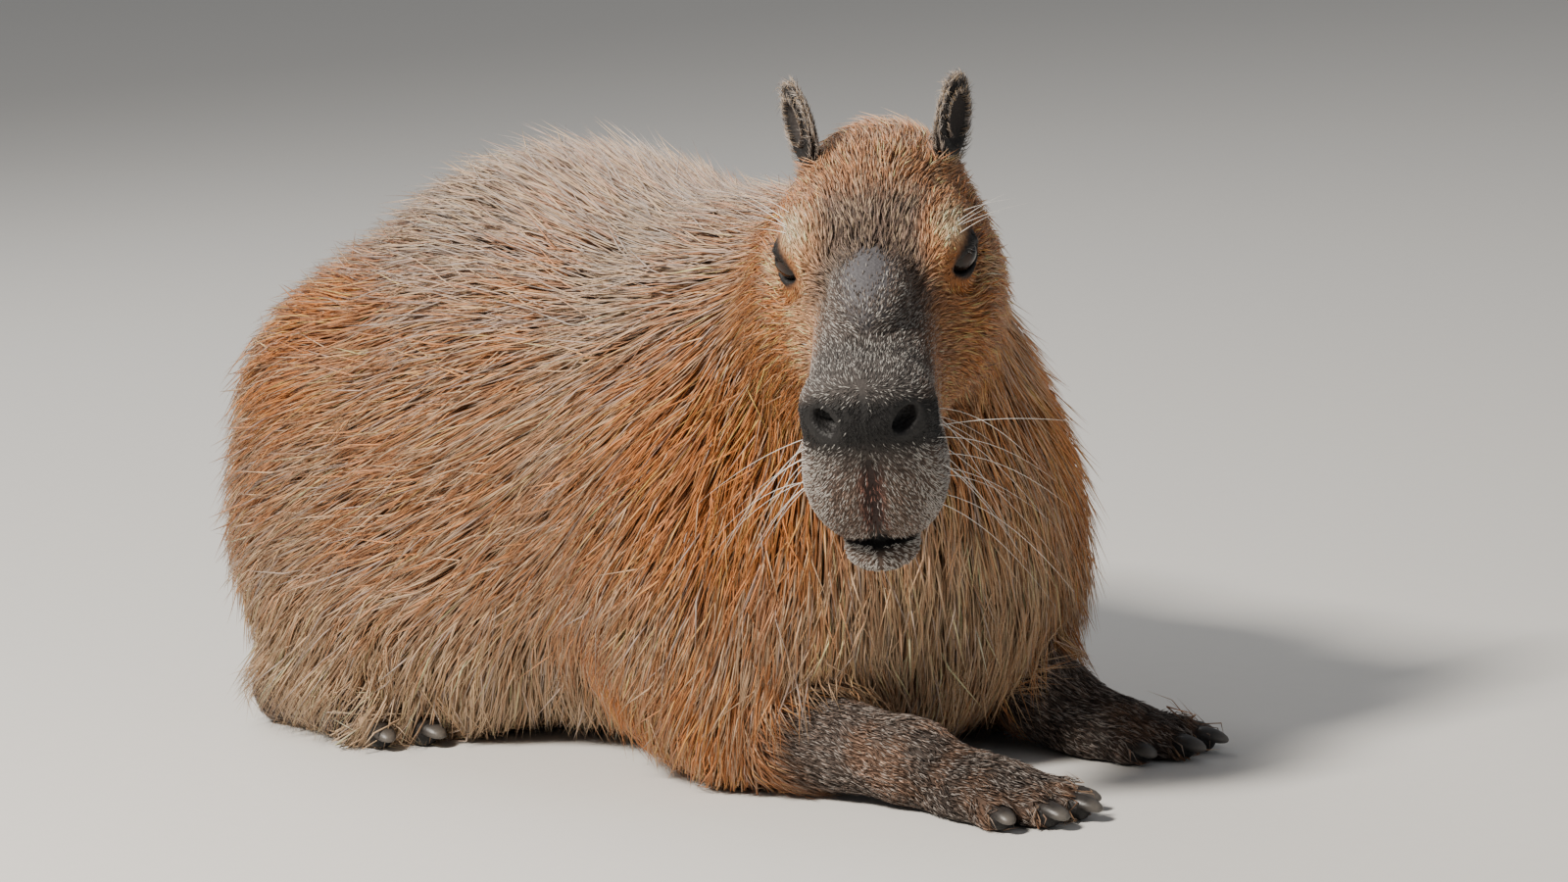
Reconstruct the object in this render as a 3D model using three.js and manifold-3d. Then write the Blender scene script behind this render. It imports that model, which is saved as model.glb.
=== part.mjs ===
// Adult capybara lying on its belly, head turned to its right, life size.
// Millimetres, +Z up. The animal faces -Y, +X is its left, and the origin
// is on the floor under the belly.
import * as THREE from 'three';
import { mergeVertices } from 'three/addons/utils/BufferGeometryUtils.js';
import Module from 'manifold-3d';

const wasm = await Module();
wasm.setup();

// Gap between touching nodes, and a wider one round a surface of larger facets.
const GAP = 0.3;
const GROWN = 0.8;

// Depth of the coat from skin to hair tips, by region.
const COAT_BODY = 25;
const COAT_NECK = 22;
const COAT_CHEEK = 12;
const COAT_FACE = 4;
const COAT_LEG = 4;

// Share of the coat's depth that the core of trunk and neck reaches, under the
// locks, and the share that the short-furred head reaches.
const CORE_SHARE = 0.5;
const FACE_SHARE = 1.0;

// Long coat: flat tapered locks, with their spacing across and along the lie.
const LOCK_SEED = 20;
const LOCK_ACROSS = 68;
const LOCK_ALONG = 99;
const LOCK_LENGTH = 150;
const LOCK_WIDTH = 70;
const LOCK_THICK = 13;
const LOCK_SINK = 10;
const LOCK_RISE = 13;
const LOCK_SHORTEST = 46;
const LOCK_BEND = 0.5;
const LOCK_LOWEST = 20;
const LOCK_TRIES = 5000;
const LOCK_STRIDE = 6;
// Room that the locks leave round the head, the legs and the feet.
const LOCK_CLEAR = 14;

// Sizes of the polygon cells.
const BODY_CELL = 50;
const HEAD_CELL = 16;
const LIMB_CELL = 19;

// Head pose: the point midway between the eyes, the turn and the pitch.
const EYE_MIDDLE = new THREE.Vector3(-112, -305, 391);
const HEAD_TURN = THREE.MathUtils.degToRad(-47);
const HEAD_PITCH = THREE.MathUtils.degToRad(27);

// Eyes and ears, in the head's own frame: X to the snout, Y left, Z up.
const EYE_RADIUS = 14.5;
const EYE_CENTRE = [0, 55, 0];
const EAR_ROOT = [-88, 50, 24];
const EAR_HEIGHT = 54;
const EAR_WIDTH = 33;
const EAR_THICK = 14;
// Angles of the ears: lean back, splay to the side, turn of the cup outward.
const EAR_LEAN = 0.3;
const EAR_SPLAY = 0.16;
const EAR_TURN = 1.0;

// Front legs: elbow, wrist, middle of the palm and heading for each side.
const ARMS = {
  right: { elbow: [-122, -150, 46], wrist: [-101, -300, 32], paw: [-91, -372, 15], heading: [0.12, -1, 0] },
  left: { elbow: [118, -150, 50], wrist: [93, -241, 36], paw: [103, -291, 15], heading: [0.34, -0.9, 0] },
};
const ELBOW_RADIUS = 40;
const WRIST_RADIUS = 25;

// Hind feet: heel and ball of the foot, flat on the floor.
const FEET = {
  right: { heel: [-160, 343, 26], ball: [-160, 243, 22], heading: [-0.05, -1, 0] },
  left: { heel: [160, 343, 26], ball: [160, 243, 22], heading: [0.05, -1, 0] },
};

const HIDE = new THREE.Color(0x8a5632);
const FACE = new THREE.Color(0x6f4a30);
const LEG = new THREE.Color(0x3b322d);
const HORN = new THREE.Color(0x2b2826);
const EYE = new THREE.Color(0x0d0a08);

// Head frame as a matrix, and its inverse.
const headTurn = new THREE.Matrix4().makeRotationZ(-Math.PI / 2 + HEAD_TURN);
const headPitch = new THREE.Matrix4().makeRotationY(HEAD_PITCH);
const headFrame = new THREE.Matrix4().makeTranslation(EYE_MIDDLE).multiply(headTurn).multiply(headPitch);
const headInverse = headFrame.clone().invert();

// Distance functions. Each blob has a centre or ends, radii and a coat depth.
function smoothMin(a, b, k) {
  const h = Math.max(k - Math.abs(a - b), 0) / k;
  return Math.min(a, b) - h * h * k * 0.25;
}

function ellipsoid(p, at, size, grow) {
  const rx = size[0] + grow;
  const ry = size[1] + grow;
  const rz = size[2] + grow;
  const x = p.x - at[0];
  const y = p.y - at[1];
  const z = p.z - at[2];
  const k0 = Math.hypot(x / rx, y / ry, z / rz);
  const k1 = Math.hypot(x / rx / rx, y / ry / ry, z / rz / rz);
  return k1 < 1e-9 ? -Math.min(rx, ry, rz) : (k0 * (k0 - 1)) / k1;
}

function roundCone(p, from, to, startRadius, endRadius) {
  const a = new THREE.Vector3(...from);
  const b = new THREE.Vector3(...to).sub(a);
  const t = THREE.MathUtils.clamp(p.clone().sub(a).dot(b) / b.lengthSq(), 0, 1);
  return p.distanceTo(a.addScaledVector(b, t)) - THREE.MathUtils.lerp(startRadius, endRadius, t);
}

function roundBox(p, at, half, round, grow) {
  const x = Math.abs(p.x - at[0]) - half[0] + round;
  const y = Math.abs(p.y - at[1]) - half[1] + round;
  const z = Math.abs(p.z - at[2]) - half[2] + round;
  const outside = Math.hypot(Math.max(x, 0), Math.max(y, 0), Math.max(z, 0));
  return outside + Math.min(Math.max(x, y, z), 0) - round - grow;
}

// Trunk, in millimetres: centre and radii at the skin.
const TRUNK = [
  { at: [0, 335, 172], size: [148, 135, 150] },
  { at: [0, 165, 213], size: [172, 195, 200] },
  { at: [0, 0, 200], size: [170, 230, 182] },
  { at: [0, -110, 205], size: [150, 140, 170] },
  { at: [0, -190, 150], size: [105, 75, 110] },
  { at: [82, 315, 248], size: [60, 90, 60] },
  { at: [-82, 315, 248], size: [60, 90, 60] },
  { at: [125, 250, 110], size: [62, 140, 115] },
  { at: [-125, 250, 110], size: [62, 140, 115] },
  { at: [118, -120, 125], size: [55, 85, 110] },
  { at: [-118, -120, 125], size: [55, 85, 110] },
];
const TRUNK_BLEND = 70;

// Belly, pressed onto the floor by the weight that lies on it.
const BELLY = { at: [0, 20, 108], size: [115, 200, 105] };
const BELLY_BLEND = 20;

function trunkField(p, share) {
  let d = Infinity;
  for (const { at, size } of TRUNK) {
    const e = ellipsoid(p, at, size, COAT_BODY * share);
    d = d === Infinity ? e : smoothMin(d, e, TRUNK_BLEND);
  }
  return smoothMin(d, ellipsoid(p, BELLY.at, BELLY.size, COAT_BODY * share), BELLY_BLEND);
}

const NECK_FROM = [0, -80, 250];
const NECK_TO = [-36, -215, 352];

function neckField(p, share) {
  return roundCone(p, NECK_FROM, NECK_TO, 130 + COAT_NECK * share, 74 + COAT_NECK * share);
}

// Head, in its own frame.
const SKULL = [
  { at: [-55, 0, -12], size: [95, 60, 52], coat: COAT_FACE },
  { at: [-5, 48, 8], size: [32, 18, 22], coat: COAT_FACE },
  { at: [-5, -48, 8], size: [32, 18, 22], coat: COAT_FACE },
  { at: [-35, 38, -62], size: [72, 36, 58], coat: COAT_CHEEK },
  { at: [-35, -38, -62], size: [72, 36, 58], coat: COAT_CHEEK },
  { at: [50, 0, -117], size: [106, 34, 35], coat: COAT_FACE },
  { at: [138, 20, -84], size: [34, 25, 40], coat: COAT_FACE },
  { at: [138, -20, -84], size: [34, 25, 40], coat: COAT_FACE },
  { at: [150, 0, -22], size: [26, 40, 24], coat: 0 },
];
const SNOUT = { at: [75, 0, -53], half: [95, 41, 57], round: 32 };
const GLAND = { at: [60, 0, 12], size: [42, 27, 20] };
const SKULL_BLEND = 26;
const GLAND_BLEND = 8;

function headField(p, share) {
  const q = p.clone().applyMatrix4(headInverse);
  let d = roundBox(q, SNOUT.at, SNOUT.half, SNOUT.round, COAT_FACE * share);
  for (const { at, size, coat } of SKULL) {
    d = smoothMin(d, ellipsoid(q, at, size, coat * share), SKULL_BLEND);
  }
  return smoothMin(d, ellipsoid(q, GLAND.at, GLAND.size, 0), GLAND_BLEND);
}

const NECK_BLEND = 60;
const HEAD_BLEND = 34;

function bodyField(p, share) {
  const body = smoothMin(trunkField(p, share), neckField(p, share), NECK_BLEND);
  return smoothMin(body, headField(p, share), HEAD_BLEND);
}

function armField(p, arm, grow) {
  const upper = roundCone(p, arm.elbow, arm.wrist, ELBOW_RADIUS + COAT_LEG + grow, WRIST_RADIUS + grow);
  const palm = ellipsoid(p, arm.paw, [36, 46, 19], grow);
  const wrist = roundCone(p, arm.wrist, arm.paw, WRIST_RADIUS + grow, 19 + grow);
  return smoothMin(smoothMin(upper, wrist, 20), palm, 22);
}

function footField(p, foot, grow) {
  const sole = roundCone(p, foot.heel, foot.ball, 27 + grow, 25 + grow);
  const ball = ellipsoid(p, foot.ball, [33, 36, 20], grow);
  return smoothMin(sole, ball, 20);
}

// A closed mesh of the surface where the field is zero: one vertex in each
// cell that the surface crosses, moved onto it, and a quad at each crossed edge.
function surface(field, low, high, cell) {
  const count = low.map((v, i) => Math.ceil((high[i] - v) / cell) + 1);
  const index = (i, j, k) => (i * count[1] + j) * count[2] + k;
  const values = new Float64Array(count[0] * count[1] * count[2]);
  const place = (i, j, k) => new THREE.Vector3(low[0] + i * cell, low[1] + j * cell, low[2] + k * cell);
  for (let i = 0; i < count[0]; i++) {
    for (let j = 0; j < count[1]; j++) {
      for (let k = 0; k < count[2]; k++) values[index(i, j, k)] = field(place(i, j, k));
    }
  }
  const corners = [[0, 0, 0], [1, 0, 0], [0, 1, 0], [1, 1, 0], [0, 0, 1], [1, 0, 1], [0, 1, 1], [1, 1, 1]];
  const edges = [[0, 1], [2, 3], [4, 5], [6, 7], [0, 2], [1, 3], [4, 6], [5, 7], [0, 4], [1, 5], [2, 6], [3, 7]];
  const vertexOf = new Map();
  const points = [];
  for (let i = 0; i < count[0] - 1; i++) {
    for (let j = 0; j < count[1] - 1; j++) {
      for (let k = 0; k < count[2] - 1; k++) {
        const v = corners.map((c) => values[index(i + c[0], j + c[1], k + c[2])]);
        const middle = new THREE.Vector3();
        let crossed = 0;
        for (const [a, b] of edges) {
          if (v[a] < 0 === v[b] < 0) continue;
          const t = v[a] / (v[a] - v[b]);
          middle.x += i + THREE.MathUtils.lerp(corners[a][0], corners[b][0], t);
          middle.y += j + THREE.MathUtils.lerp(corners[a][1], corners[b][1], t);
          middle.z += k + THREE.MathUtils.lerp(corners[a][2], corners[b][2], t);
          crossed++;
        }
        if (!crossed) continue;
        middle.multiplyScalar(cell / crossed).add(new THREE.Vector3(...low));
        vertexOf.set(index(i, j, k), points.length);
        points.push(ontoSurface(field, middle, 0, cell * 0.5));
      }
    }
  }
  const faces = [];
  const steps = [index(1, 0, 0), index(0, 1, 0), index(0, 0, 1)];
  for (let i = 1; i < count[0] - 1; i++) {
    for (let j = 1; j < count[1] - 1; j++) {
      for (let k = 1; k < count[2] - 1; k++) {
        const here = index(i, j, k);
        for (let axis = 0; axis < 3; axis++) {
          const inside = values[here] < 0;
          if (inside === values[here + steps[axis]] < 0) continue;
          const u = steps[(axis + 1) % 3];
          const w = steps[(axis + 2) % 3];
          const quad = [here, here - u, here - u - w, here - w].map((cellIndex) => vertexOf.get(cellIndex));
          if (!inside) quad.reverse();
          const [a, b, c, d] = quad;
          const shortAC = points[a].distanceTo(points[c]) <= points[b].distanceTo(points[d]);
          if (shortAC) faces.push(a, b, c, a, c, d);
          else faces.push(a, b, d, b, c, d);
        }
      }
    }
  }
  const geometry = new THREE.BufferGeometry();
  geometry.setAttribute('position', new THREE.Float32BufferAttribute(points.flatMap((p) => p.toArray()), 3));
  geometry.setIndex(faces);
  return geometry;
}

function gradient(field, p) {
  const h = 1;
  const g = new THREE.Vector3();
  for (const axis of ['x', 'y', 'z']) {
    const ahead = p.clone();
    const behind = p.clone();
    ahead[axis] += h;
    behind[axis] -= h;
    g[axis] = (field(ahead) - field(behind)) / (2 * h);
  }
  return g;
}

// Moves a point to the level of the field, by at most the reach given.
function ontoSurface(field, start, level, reach) {
  const p = start.clone();
  for (let step = 0; step < 4; step++) {
    const g = gradient(field, p);
    p.addScaledVector(g, (level - field(p)) / Math.max(g.lengthSq(), 0.05));
  }
  return p.distanceTo(start) > reach ? start.clone().lerp(p, reach / p.distanceTo(start)) : p;
}

// Solids: joins and cuts.
function solid(geometry) {
  const bare = geometry.clone();
  bare.deleteAttribute('normal');
  bare.deleteAttribute('uv');
  const merged = mergeVertices(bare, 1e-4);
  const vertProperties = Float32Array.from(merged.attributes.position.array);
  const triVerts = Uint32Array.from(merged.index.array);
  return new wasm.Manifold(new wasm.Mesh({ numProp: 3, vertProperties, triVerts }));
}

function largest(shape) {
  const pieces = shape.decompose();
  return pieces.reduce((best, piece) => (piece.volume() > best.volume() ? piece : best));
}

// Snaps the vertices to a fine grid and drops the slivers that close up on it,
// with any two faces that then lie back to back.
const SNAP = 0.12;

function snapped(mesh) {
  const bare = new THREE.BufferGeometry();
  const places = Float32Array.from(mesh.vertProperties, (v) => Math.round(v / SNAP) * SNAP);
  bare.setAttribute('position', new THREE.BufferAttribute(places, 3));
  bare.setIndex(new THREE.BufferAttribute(mesh.triVerts, 1));
  const merged = mergeVertices(bare, SNAP / 2);
  const corners = merged.index.array;
  const kept = new Map();
  for (let i = 0; i < corners.length; i += 3) {
    const face = [...corners.slice(i, i + 3)];
    if (new Set(face).size < 3) continue;
    const key = [...face].sort((a, b) => a - b).join();
    if (kept.has(key)) kept.delete(key);
    else kept.set(key, face);
  }
  merged.setIndex([...kept.values()].flat());
  return merged;
}

const model = new THREE.Group();

function addNode(name, shape, colour, roughness = 0.9) {
  const geometry = snapped(largest(shape).getMesh());
  geometry.computeVertexNormals();
  const node = new THREE.Mesh(geometry, new THREE.MeshStandardMaterial({ color: colour, roughness, metalness: 0 }));
  node.name = name;
  model.add(node);
  return node;
}

// A box given by its own frame: low and high corners in that frame.
function framedBox(frame, low, high) {
  const size = high.map((v, i) => v - low[i]);
  const geometry = new THREE.BoxGeometry(...size);
  geometry.translate(...high.map((v, i) => (v + low[i]) / 2));
  return solid(geometry.applyMatrix4(frame));
}

// A frame at a point, with X along the direction and Z as near up as it can be.
function frameAlong(at, direction) {
  const x = new THREE.Vector3(...direction).normalize();
  const y = new THREE.Vector3(0, 0, 1).cross(x).normalize();
  const z = x.clone().cross(y);
  return new THREE.Matrix4().makeBasis(x, y, z).setPosition(new THREE.Vector3(...at));
}

function ball(frame, at, radii, wide = 16, high = 10) {
  const geometry = new THREE.SphereGeometry(1, wide, high).scale(...radii).translate(...at);
  return solid(geometry.applyMatrix4(frame));
}

const WORLD = new THREE.Matrix4();
const FLOOR = framedBox(WORLD, [-1500, -1500, -400], [1500, 1500, 0]);

// Boxes that part the head from the neck and the neck from the trunk.
const HEAD_BACK = -78;
const HEAD_LOW = -166;
const HEAD_SIDE = 102;
const headBox = (grow) => framedBox(headFrame, [HEAD_BACK - grow, -HEAD_SIDE - grow, HEAD_LOW - grow], [330, HEAD_SIDE + grow, 190]);
const neckFrame = frameAlong([-12, -128, 285], [-0.3, -0.88, 0.38]);
const NECK_LOW = -150;
const neckBox = (grow) => framedBox(neckFrame, [-grow, -260, NECK_LOW - grow], [420, 260, 330]);

// Rounded toe along its frame's X.
function toeShape(frame, length, radius, grow) {
  const outline = [];
  const steps = 3;
  for (let i = 0; i <= steps; i++) {
    const a = (i / steps) * (Math.PI / 2);
    outline.push(new THREE.Vector2(Math.sin(a) * (radius + grow), -Math.cos(a) * (radius + grow)));
  }
  const tipRadius = radius * 0.82 + grow;
  for (let i = steps; i >= 0; i--) {
    const a = (i / steps) * (Math.PI / 2);
    outline.push(new THREE.Vector2(Math.sin(a) * tipRadius, length - radius + Math.cos(a) * tipRadius));
  }
  outline[0].x = 0;
  outline[outline.length - 1].x = 0;
  const lathe = new THREE.LatheGeometry(outline, 6).rotateZ(-Math.PI / 2);
  return solid(lathe.applyMatrix4(frame));
}

// Blunt hoof-like claw: a flattened lathe, broad and round at its end.
const CLAW_OUTLINE = [[0, 0], [0.8, 0.02], [1, 0.28], [0.92, 0.62], [0.62, 0.9], [0, 1]];

function clawShape(frame, length, radius, grow) {
  const points = CLAW_OUTLINE.map(([r, t]) => new THREE.Vector2(r && r * radius + grow, t * length + (t < 0.1 ? -grow : grow)));
  const lathe = new THREE.LatheGeometry(points, 6).rotateZ(-Math.PI / 2).scale(1, 1, 0.72);
  return solid(lathe.applyMatrix4(frame));
}

// Toes of one paw or foot, fanned about the ball, with their claws.
// Gives the flesh with its toes, and the space that its neighbours keep clear of.
function paw(name, flesh, clearance, ballAt, heading, toes) {
  const yaw = Math.atan2(heading[1], heading[0]);
  let shape = flesh;
  let space = clearance;
  toes.forEach(({ turn, side, start, length, radius, claw }, i) => {
    const a = yaw + THREE.MathUtils.degToRad(turn);
    const forward = [Math.cos(a), Math.sin(a), -0.1];
    const left = [-Math.sin(yaw), Math.cos(yaw)];
    const at = [
      ballAt[0] + left[0] * side + Math.cos(yaw) * start,
      ballAt[1] + left[1] * side + Math.sin(yaw) * start,
      radius + 2.5,
    ];
    const frame = frameAlong(at, forward);
    shape = shape.add(toeShape(frame, length, radius, 0));
    space = space.add(toeShape(frame, length, radius, GROWN));
    const clawFrame = frame.clone().multiply(new THREE.Matrix4().makeTranslation(length - radius * 1.5, 0, radius * 0.3));
    const clawRadius = radius * 0.74;
    shape = shape.subtract(clawShape(clawFrame, claw, clawRadius, GAP));
    space = space.add(clawShape(clawFrame, claw, clawRadius, GROWN));
    const clawSolid = clawShape(clawFrame, claw, clawRadius, 0).subtract(FLOOR);
    addNode(`${name}_claw_${i + 1}`, clawSolid, HORN, 0.45);
  });
  addNode(name, shape.subtract(FLOOR), LEG);
  return space;
}

// A surface as a function of how far its own vertices are moved out.
function swelling(field, low, high, cell) {
  const geometry = surface(field, low, high, cell);
  const place = geometry.attributes.position;
  return (grow) => {
    const wider = geometry.clone();
    for (let i = 0; i < place.count; i++) {
      const p = new THREE.Vector3().fromBufferAttribute(place, i);
      p.addScaledVector(gradient(field, p).normalize(), grow);
      wider.attributes.position.setXYZ(i, p.x, p.y, p.z);
    }
    return solid(wider);
  };
}

const ARM_REACH = 75;
const arms = {};
for (const [side, arm] of Object.entries(ARMS)) {
  const xs = [arm.elbow[0], arm.wrist[0], arm.paw[0]];
  const low = [Math.min(...xs) - ARM_REACH, arm.paw[1] - ARM_REACH, -50];
  const high = [Math.max(...xs) + ARM_REACH, arm.elbow[1] + ARM_REACH, 130];
  arms[side] = swelling((p) => armField(p, arm, 0), low, high, LIMB_CELL);
}
const feet = {};
for (const [side, foot] of Object.entries(FEET)) {
  const low = [foot.heel[0] - 60, foot.ball[1] - 60, -40];
  const high = [foot.heel[0] + 60, foot.heel[1] + 60, 80];
  feet[side] = swelling((p) => footField(p, foot, 0), low, high, LIMB_CELL);
}

// Upper arms and thighs, parted from the trunk by rounded cuts.
const SHOULDER_CUT = { at: [160, -118, 100], radii: [98, 100, 135] };
const THIGH_CUT = { at: [175, 262, 95], radii: [105, 150, 160] };

function roundCut(cut, sign, grow) {
  const at = [cut.at[0] * sign, cut.at[1], cut.at[2]];
  return ball(WORLD, at, cut.radii.map((r) => r + grow), 16, 9);
}

const core = (p) => bodyField(p, CORE_SHARE);

// Steepness of the coat below level, along the flank from chest to rump.
const LIE_STEEPNESS = [[-270, 88], [-130, 60], [0, 36], [120, 27], [300, 32], [400, 45], [500, 80]];

function steepness(y) {
  const last = LIE_STEEPNESS.length - 1;
  let i = 0;
  while (i < last - 1 && y > LIE_STEEPNESS[i + 1][0]) i++;
  const [from, start] = LIE_STEEPNESS[i];
  const [to, end] = LIE_STEEPNESS[i + 1];
  const t = THREE.MathUtils.clamp((y - from) / (to - from), 0, 1);
  return THREE.MathUtils.degToRad(THREE.MathUtils.lerp(start, end, t));
}

// The way the hair lies on the surface at a point: back along the spine,
// back and down the flanks, straight down the chest.
function lieOf(p, normal) {
  const flank = THREE.MathUtils.smoothstep(0.95 - normal.z, 0, 0.65);
  const angle = steepness(p.y) * flank;
  const lie = new THREE.Vector3(0, Math.cos(angle), -Math.sin(angle));
  return lie.addScaledVector(normal, -lie.dot(normal)).normalize();
}

// Seeded random numbers from 0 to 1.
function randomFrom(seed) {
  let state = seed;
  return () => {
    state = (state + 0x6d2b79f5) | 0;
    let t = Math.imul(state ^ (state >>> 15), 1 | state);
    t = (t + Math.imul(t ^ (t >>> 7), 61 | t)) ^ t;
    return ((t ^ (t >>> 14)) >>> 0) / 4294967296;
  };
}

// One lock: flat four-sided sections along a path, from a sunk root to a point.
const LOCK_WIDTHS = [0.6, 1, 0.72];
const LOCK_THICKNESSES = [0.9, 1, 0.6];

function lockShape(path, normals, width, thick) {
  const rings = LOCK_WIDTHS.length;
  const points = [];
  for (let i = 0; i < rings; i++) {
    const along = path[i + 1].clone().sub(path[Math.max(i - 1, 0)]).normalize();
    const across = along.clone().cross(normals[i]).normalize().multiplyScalar((width / 2) * LOCK_WIDTHS[i]);
    const up = across.clone().cross(along).normalize().multiplyScalar((thick / 2) * LOCK_THICKNESSES[i]);
    for (const step of [across, up, across.clone().negate(), up.clone().negate()]) points.push(path[i].clone().add(step));
  }
  points.push(path[rings]);
  const faces = [0, 1, 2, 0, 2, 3];
  for (let i = 0; i < rings; i++) {
    for (let side = 0; side < 4; side++) {
      const a = i * 4 + side;
      const b = i * 4 + ((side + 1) % 4);
      if (i === rings - 1) faces.push(a, rings * 4, b);
      else faces.push(a, a + 4, b + 4, a, b + 4, b);
    }
  }
  const geometry = new THREE.BufferGeometry();
  geometry.setAttribute('position', new THREE.Float32BufferAttribute(points.flatMap((v) => v.toArray()), 3));
  geometry.setIndex(faces);
  return solid(geometry);
}

// The node that a point of the coat belongs to, or none where no lock may go.
function nodeAt(p) {
  const q = p.clone().applyMatrix4(headInverse);
  if (q.x > HEAD_BACK - LOCK_CLEAR && q.z > HEAD_LOW - LOCK_CLEAR && Math.abs(q.y) < HEAD_SIDE + LOCK_CLEAR) return 'none';
  if (p.z < 12) return 'none';
  for (const side of ['left', 'right']) {
    if (armField(p, ARMS[side], 0) < LOCK_CLEAR || footField(p, FEET[side], 0) < LOCK_CLEAR) return 'none';
    for (const [name, cut] of [['foreleg', SHOULDER_CUT], ['thigh', THIGH_CUT]]) {
      const x = side === 'left' ? p.x : -p.x;
      const t = Math.hypot((x - cut.at[0]) / cut.radii[0], (p.y - cut.at[1]) / cut.radii[1], (p.z - cut.at[2]) / cut.radii[2]);
      if (t < 1) return name + side;
    }
  }
  const n = p.clone().applyMatrix4(neckFrame.clone().invert());
  return n.x > 0 && n.z > NECK_LOW ? 'neck' : 'torso';
}

function lockFrom(root, random) {
  const home = nodeAt(root);
  if (home === 'none') return null;
  const length = LOCK_LENGTH * (0.85 + 0.3 * random());
  const turn = (random() - 0.5) * LOCK_BEND;
  const steps = LOCK_WIDTHS.length;
  const trail = [root.clone()];
  for (let gone = 0; gone < length; gone += LOCK_STRIDE) {
    const here = trail[trail.length - 1];
    const normal = gradient(core, here).normalize();
    const lie = lieOf(here, normal).applyAxisAngle(normal, turn * (gone / length - 0.3));
    const rise = THREE.MathUtils.lerp(-LOCK_SINK, LOCK_RISE, Math.min((gone + LOCK_STRIDE) / length, 1));
    const next = ontoSurface(core, here.clone().addScaledVector(lie, LOCK_STRIDE), rise, 40);
    if (nodeAt(next) !== home) break;
    trail.push(next);
  }
  const reached = (trail.length - 1) * LOCK_STRIDE;
  if (reached < LOCK_SHORTEST) return null;
  const share = Math.min(1, reached / length);
  const path = [];
  for (let i = 0; i <= steps; i++) path.push(trail[Math.round((i / steps) * (trail.length - 1))].clone());
  const lifts = path.map((_, i) => THREE.MathUtils.lerp(-LOCK_SINK, LOCK_RISE, i / steps));
  const placed = path.map((p, i) => ontoSurface(core, p, lifts[i], 40));
  const normals = placed.map((p) => gradient(core, p).normalize());
  const width = LOCK_WIDTH * (0.85 + 0.3 * random()) * (0.55 + 0.45 * share);
  return lockShape(placed, normals, width, LOCK_THICK * (0.7 + 0.3 * share));
}

// Roots spread evenly over the core: random points, none close to another.
function coatLocks(geometry) {
  const random = randomFrom(LOCK_SEED);
  const corners = geometry.index.array;
  const place = geometry.attributes.position;
  const triangles = [];
  let area = 0;
  for (let i = 0; i < corners.length; i += 3) {
    const [a, b, c] = [0, 1, 2].map((k) => new THREE.Vector3().fromBufferAttribute(place, corners[i + k]));
    area += new THREE.Triangle(a, b, c).getArea();
    triangles.push({ a, b, c, upTo: area });
  }
  const taken = [];
  const locks = [];
  for (let tries = 0; tries < LOCK_TRIES; tries++) {
    const pick = random() * area;
    const { a, b, c } = triangles.find((t) => t.upTo >= pick);
    let [u, v] = [random(), random()];
    if (u + v > 1) [u, v] = [1 - u, 1 - v];
    const root = a.clone().multiplyScalar(1 - u - v).addScaledVector(b, u).addScaledVector(c, v);
    if (root.z < LOCK_LOWEST) continue;
    const normal = gradient(core, root).normalize();
    const lie = lieOf(root, normal);
    const across = lie.clone().cross(normal);
    const crowded = taken.some((other) => {
      const d = other.clone().sub(root);
      return Math.hypot(d.dot(lie) / LOCK_ALONG, d.dot(across) / LOCK_ACROSS, d.dot(normal) / LOCK_ACROSS) < 1;
    });
    if (crowded) continue;
    const lock = lockFrom(root, random);
    if (!lock) continue;
    taken.push(root);
    locks.push(lock);
  }
  return locks;
}

const coreGeometry = surface(core, [-330, -500, -90], [270, 560, 560], BODY_CELL);
const locks = coatLocks(coreGeometry);
const whole = locks.reduce((joined, lock) => joined.add(lock), solid(coreGeometry)).subtract(FLOOR);

// The head's own finer mesh, closed a little behind its rear cut.
function headRegion(p) {
  const q = p.clone().applyMatrix4(headInverse);
  return Math.max(bodyField(p, FACE_SHARE), HEAD_BACK - 12 - q.x, HEAD_LOW - 12 - q.z, Math.abs(q.y) - HEAD_SIDE - 12);
}

const headWhole = solid(surface(headRegion, [-340, -540, 100], [130, -120, 580], HEAD_CELL));

// Head: sockets for the eyes and ears, nostrils, mouth line and lids.
const mirror = (v, sign) => [v[0], v[1] * sign, v[2]];

function earShape(sign, grow) {
  const lean = new THREE.Matrix4().makeRotationY(-EAR_LEAN);
  const splay = new THREE.Matrix4().makeRotationX(-EAR_SPLAY * sign);
  const turn = new THREE.Matrix4().makeRotationZ(EAR_TURN * sign);
  const frame = headFrame.clone().multiply(new THREE.Matrix4().makeTranslation(...mirror(EAR_ROOT, sign)));
  frame.multiply(splay).multiply(lean).multiply(turn);
  const outer = ball(frame, [0, 0, EAR_HEIGHT * 0.42], [EAR_THICK / 2 + grow, EAR_WIDTH / 2 + grow, EAR_HEIGHT * 0.58 + grow], 11, 8);
  if (grow) return outer;
  const cup = ball(frame, [EAR_THICK * 0.62, 0, EAR_HEIGHT * 0.5], [EAR_THICK * 0.78, EAR_WIDTH * 0.4, EAR_HEIGHT * 0.42], 9, 7);
  return outer.subtract(cup);
}

function nostril(sign) {
  const frame = headFrame.clone().multiply(new THREE.Matrix4().makeTranslation(171, 28 * sign, -17));
  frame.multiply(new THREE.Matrix4().makeRotationZ(0.5 * sign)).multiply(new THREE.Matrix4().makeRotationX(0.5 * sign));
  return ball(frame, [0, 0, 0], [14, 11, 7], 9, 7);
}

const MOUTH = [[66, 47, -108], [104, 42, -116], [140, 31, -121], [162, 15, -124], [170, 0, -125]];

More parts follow.
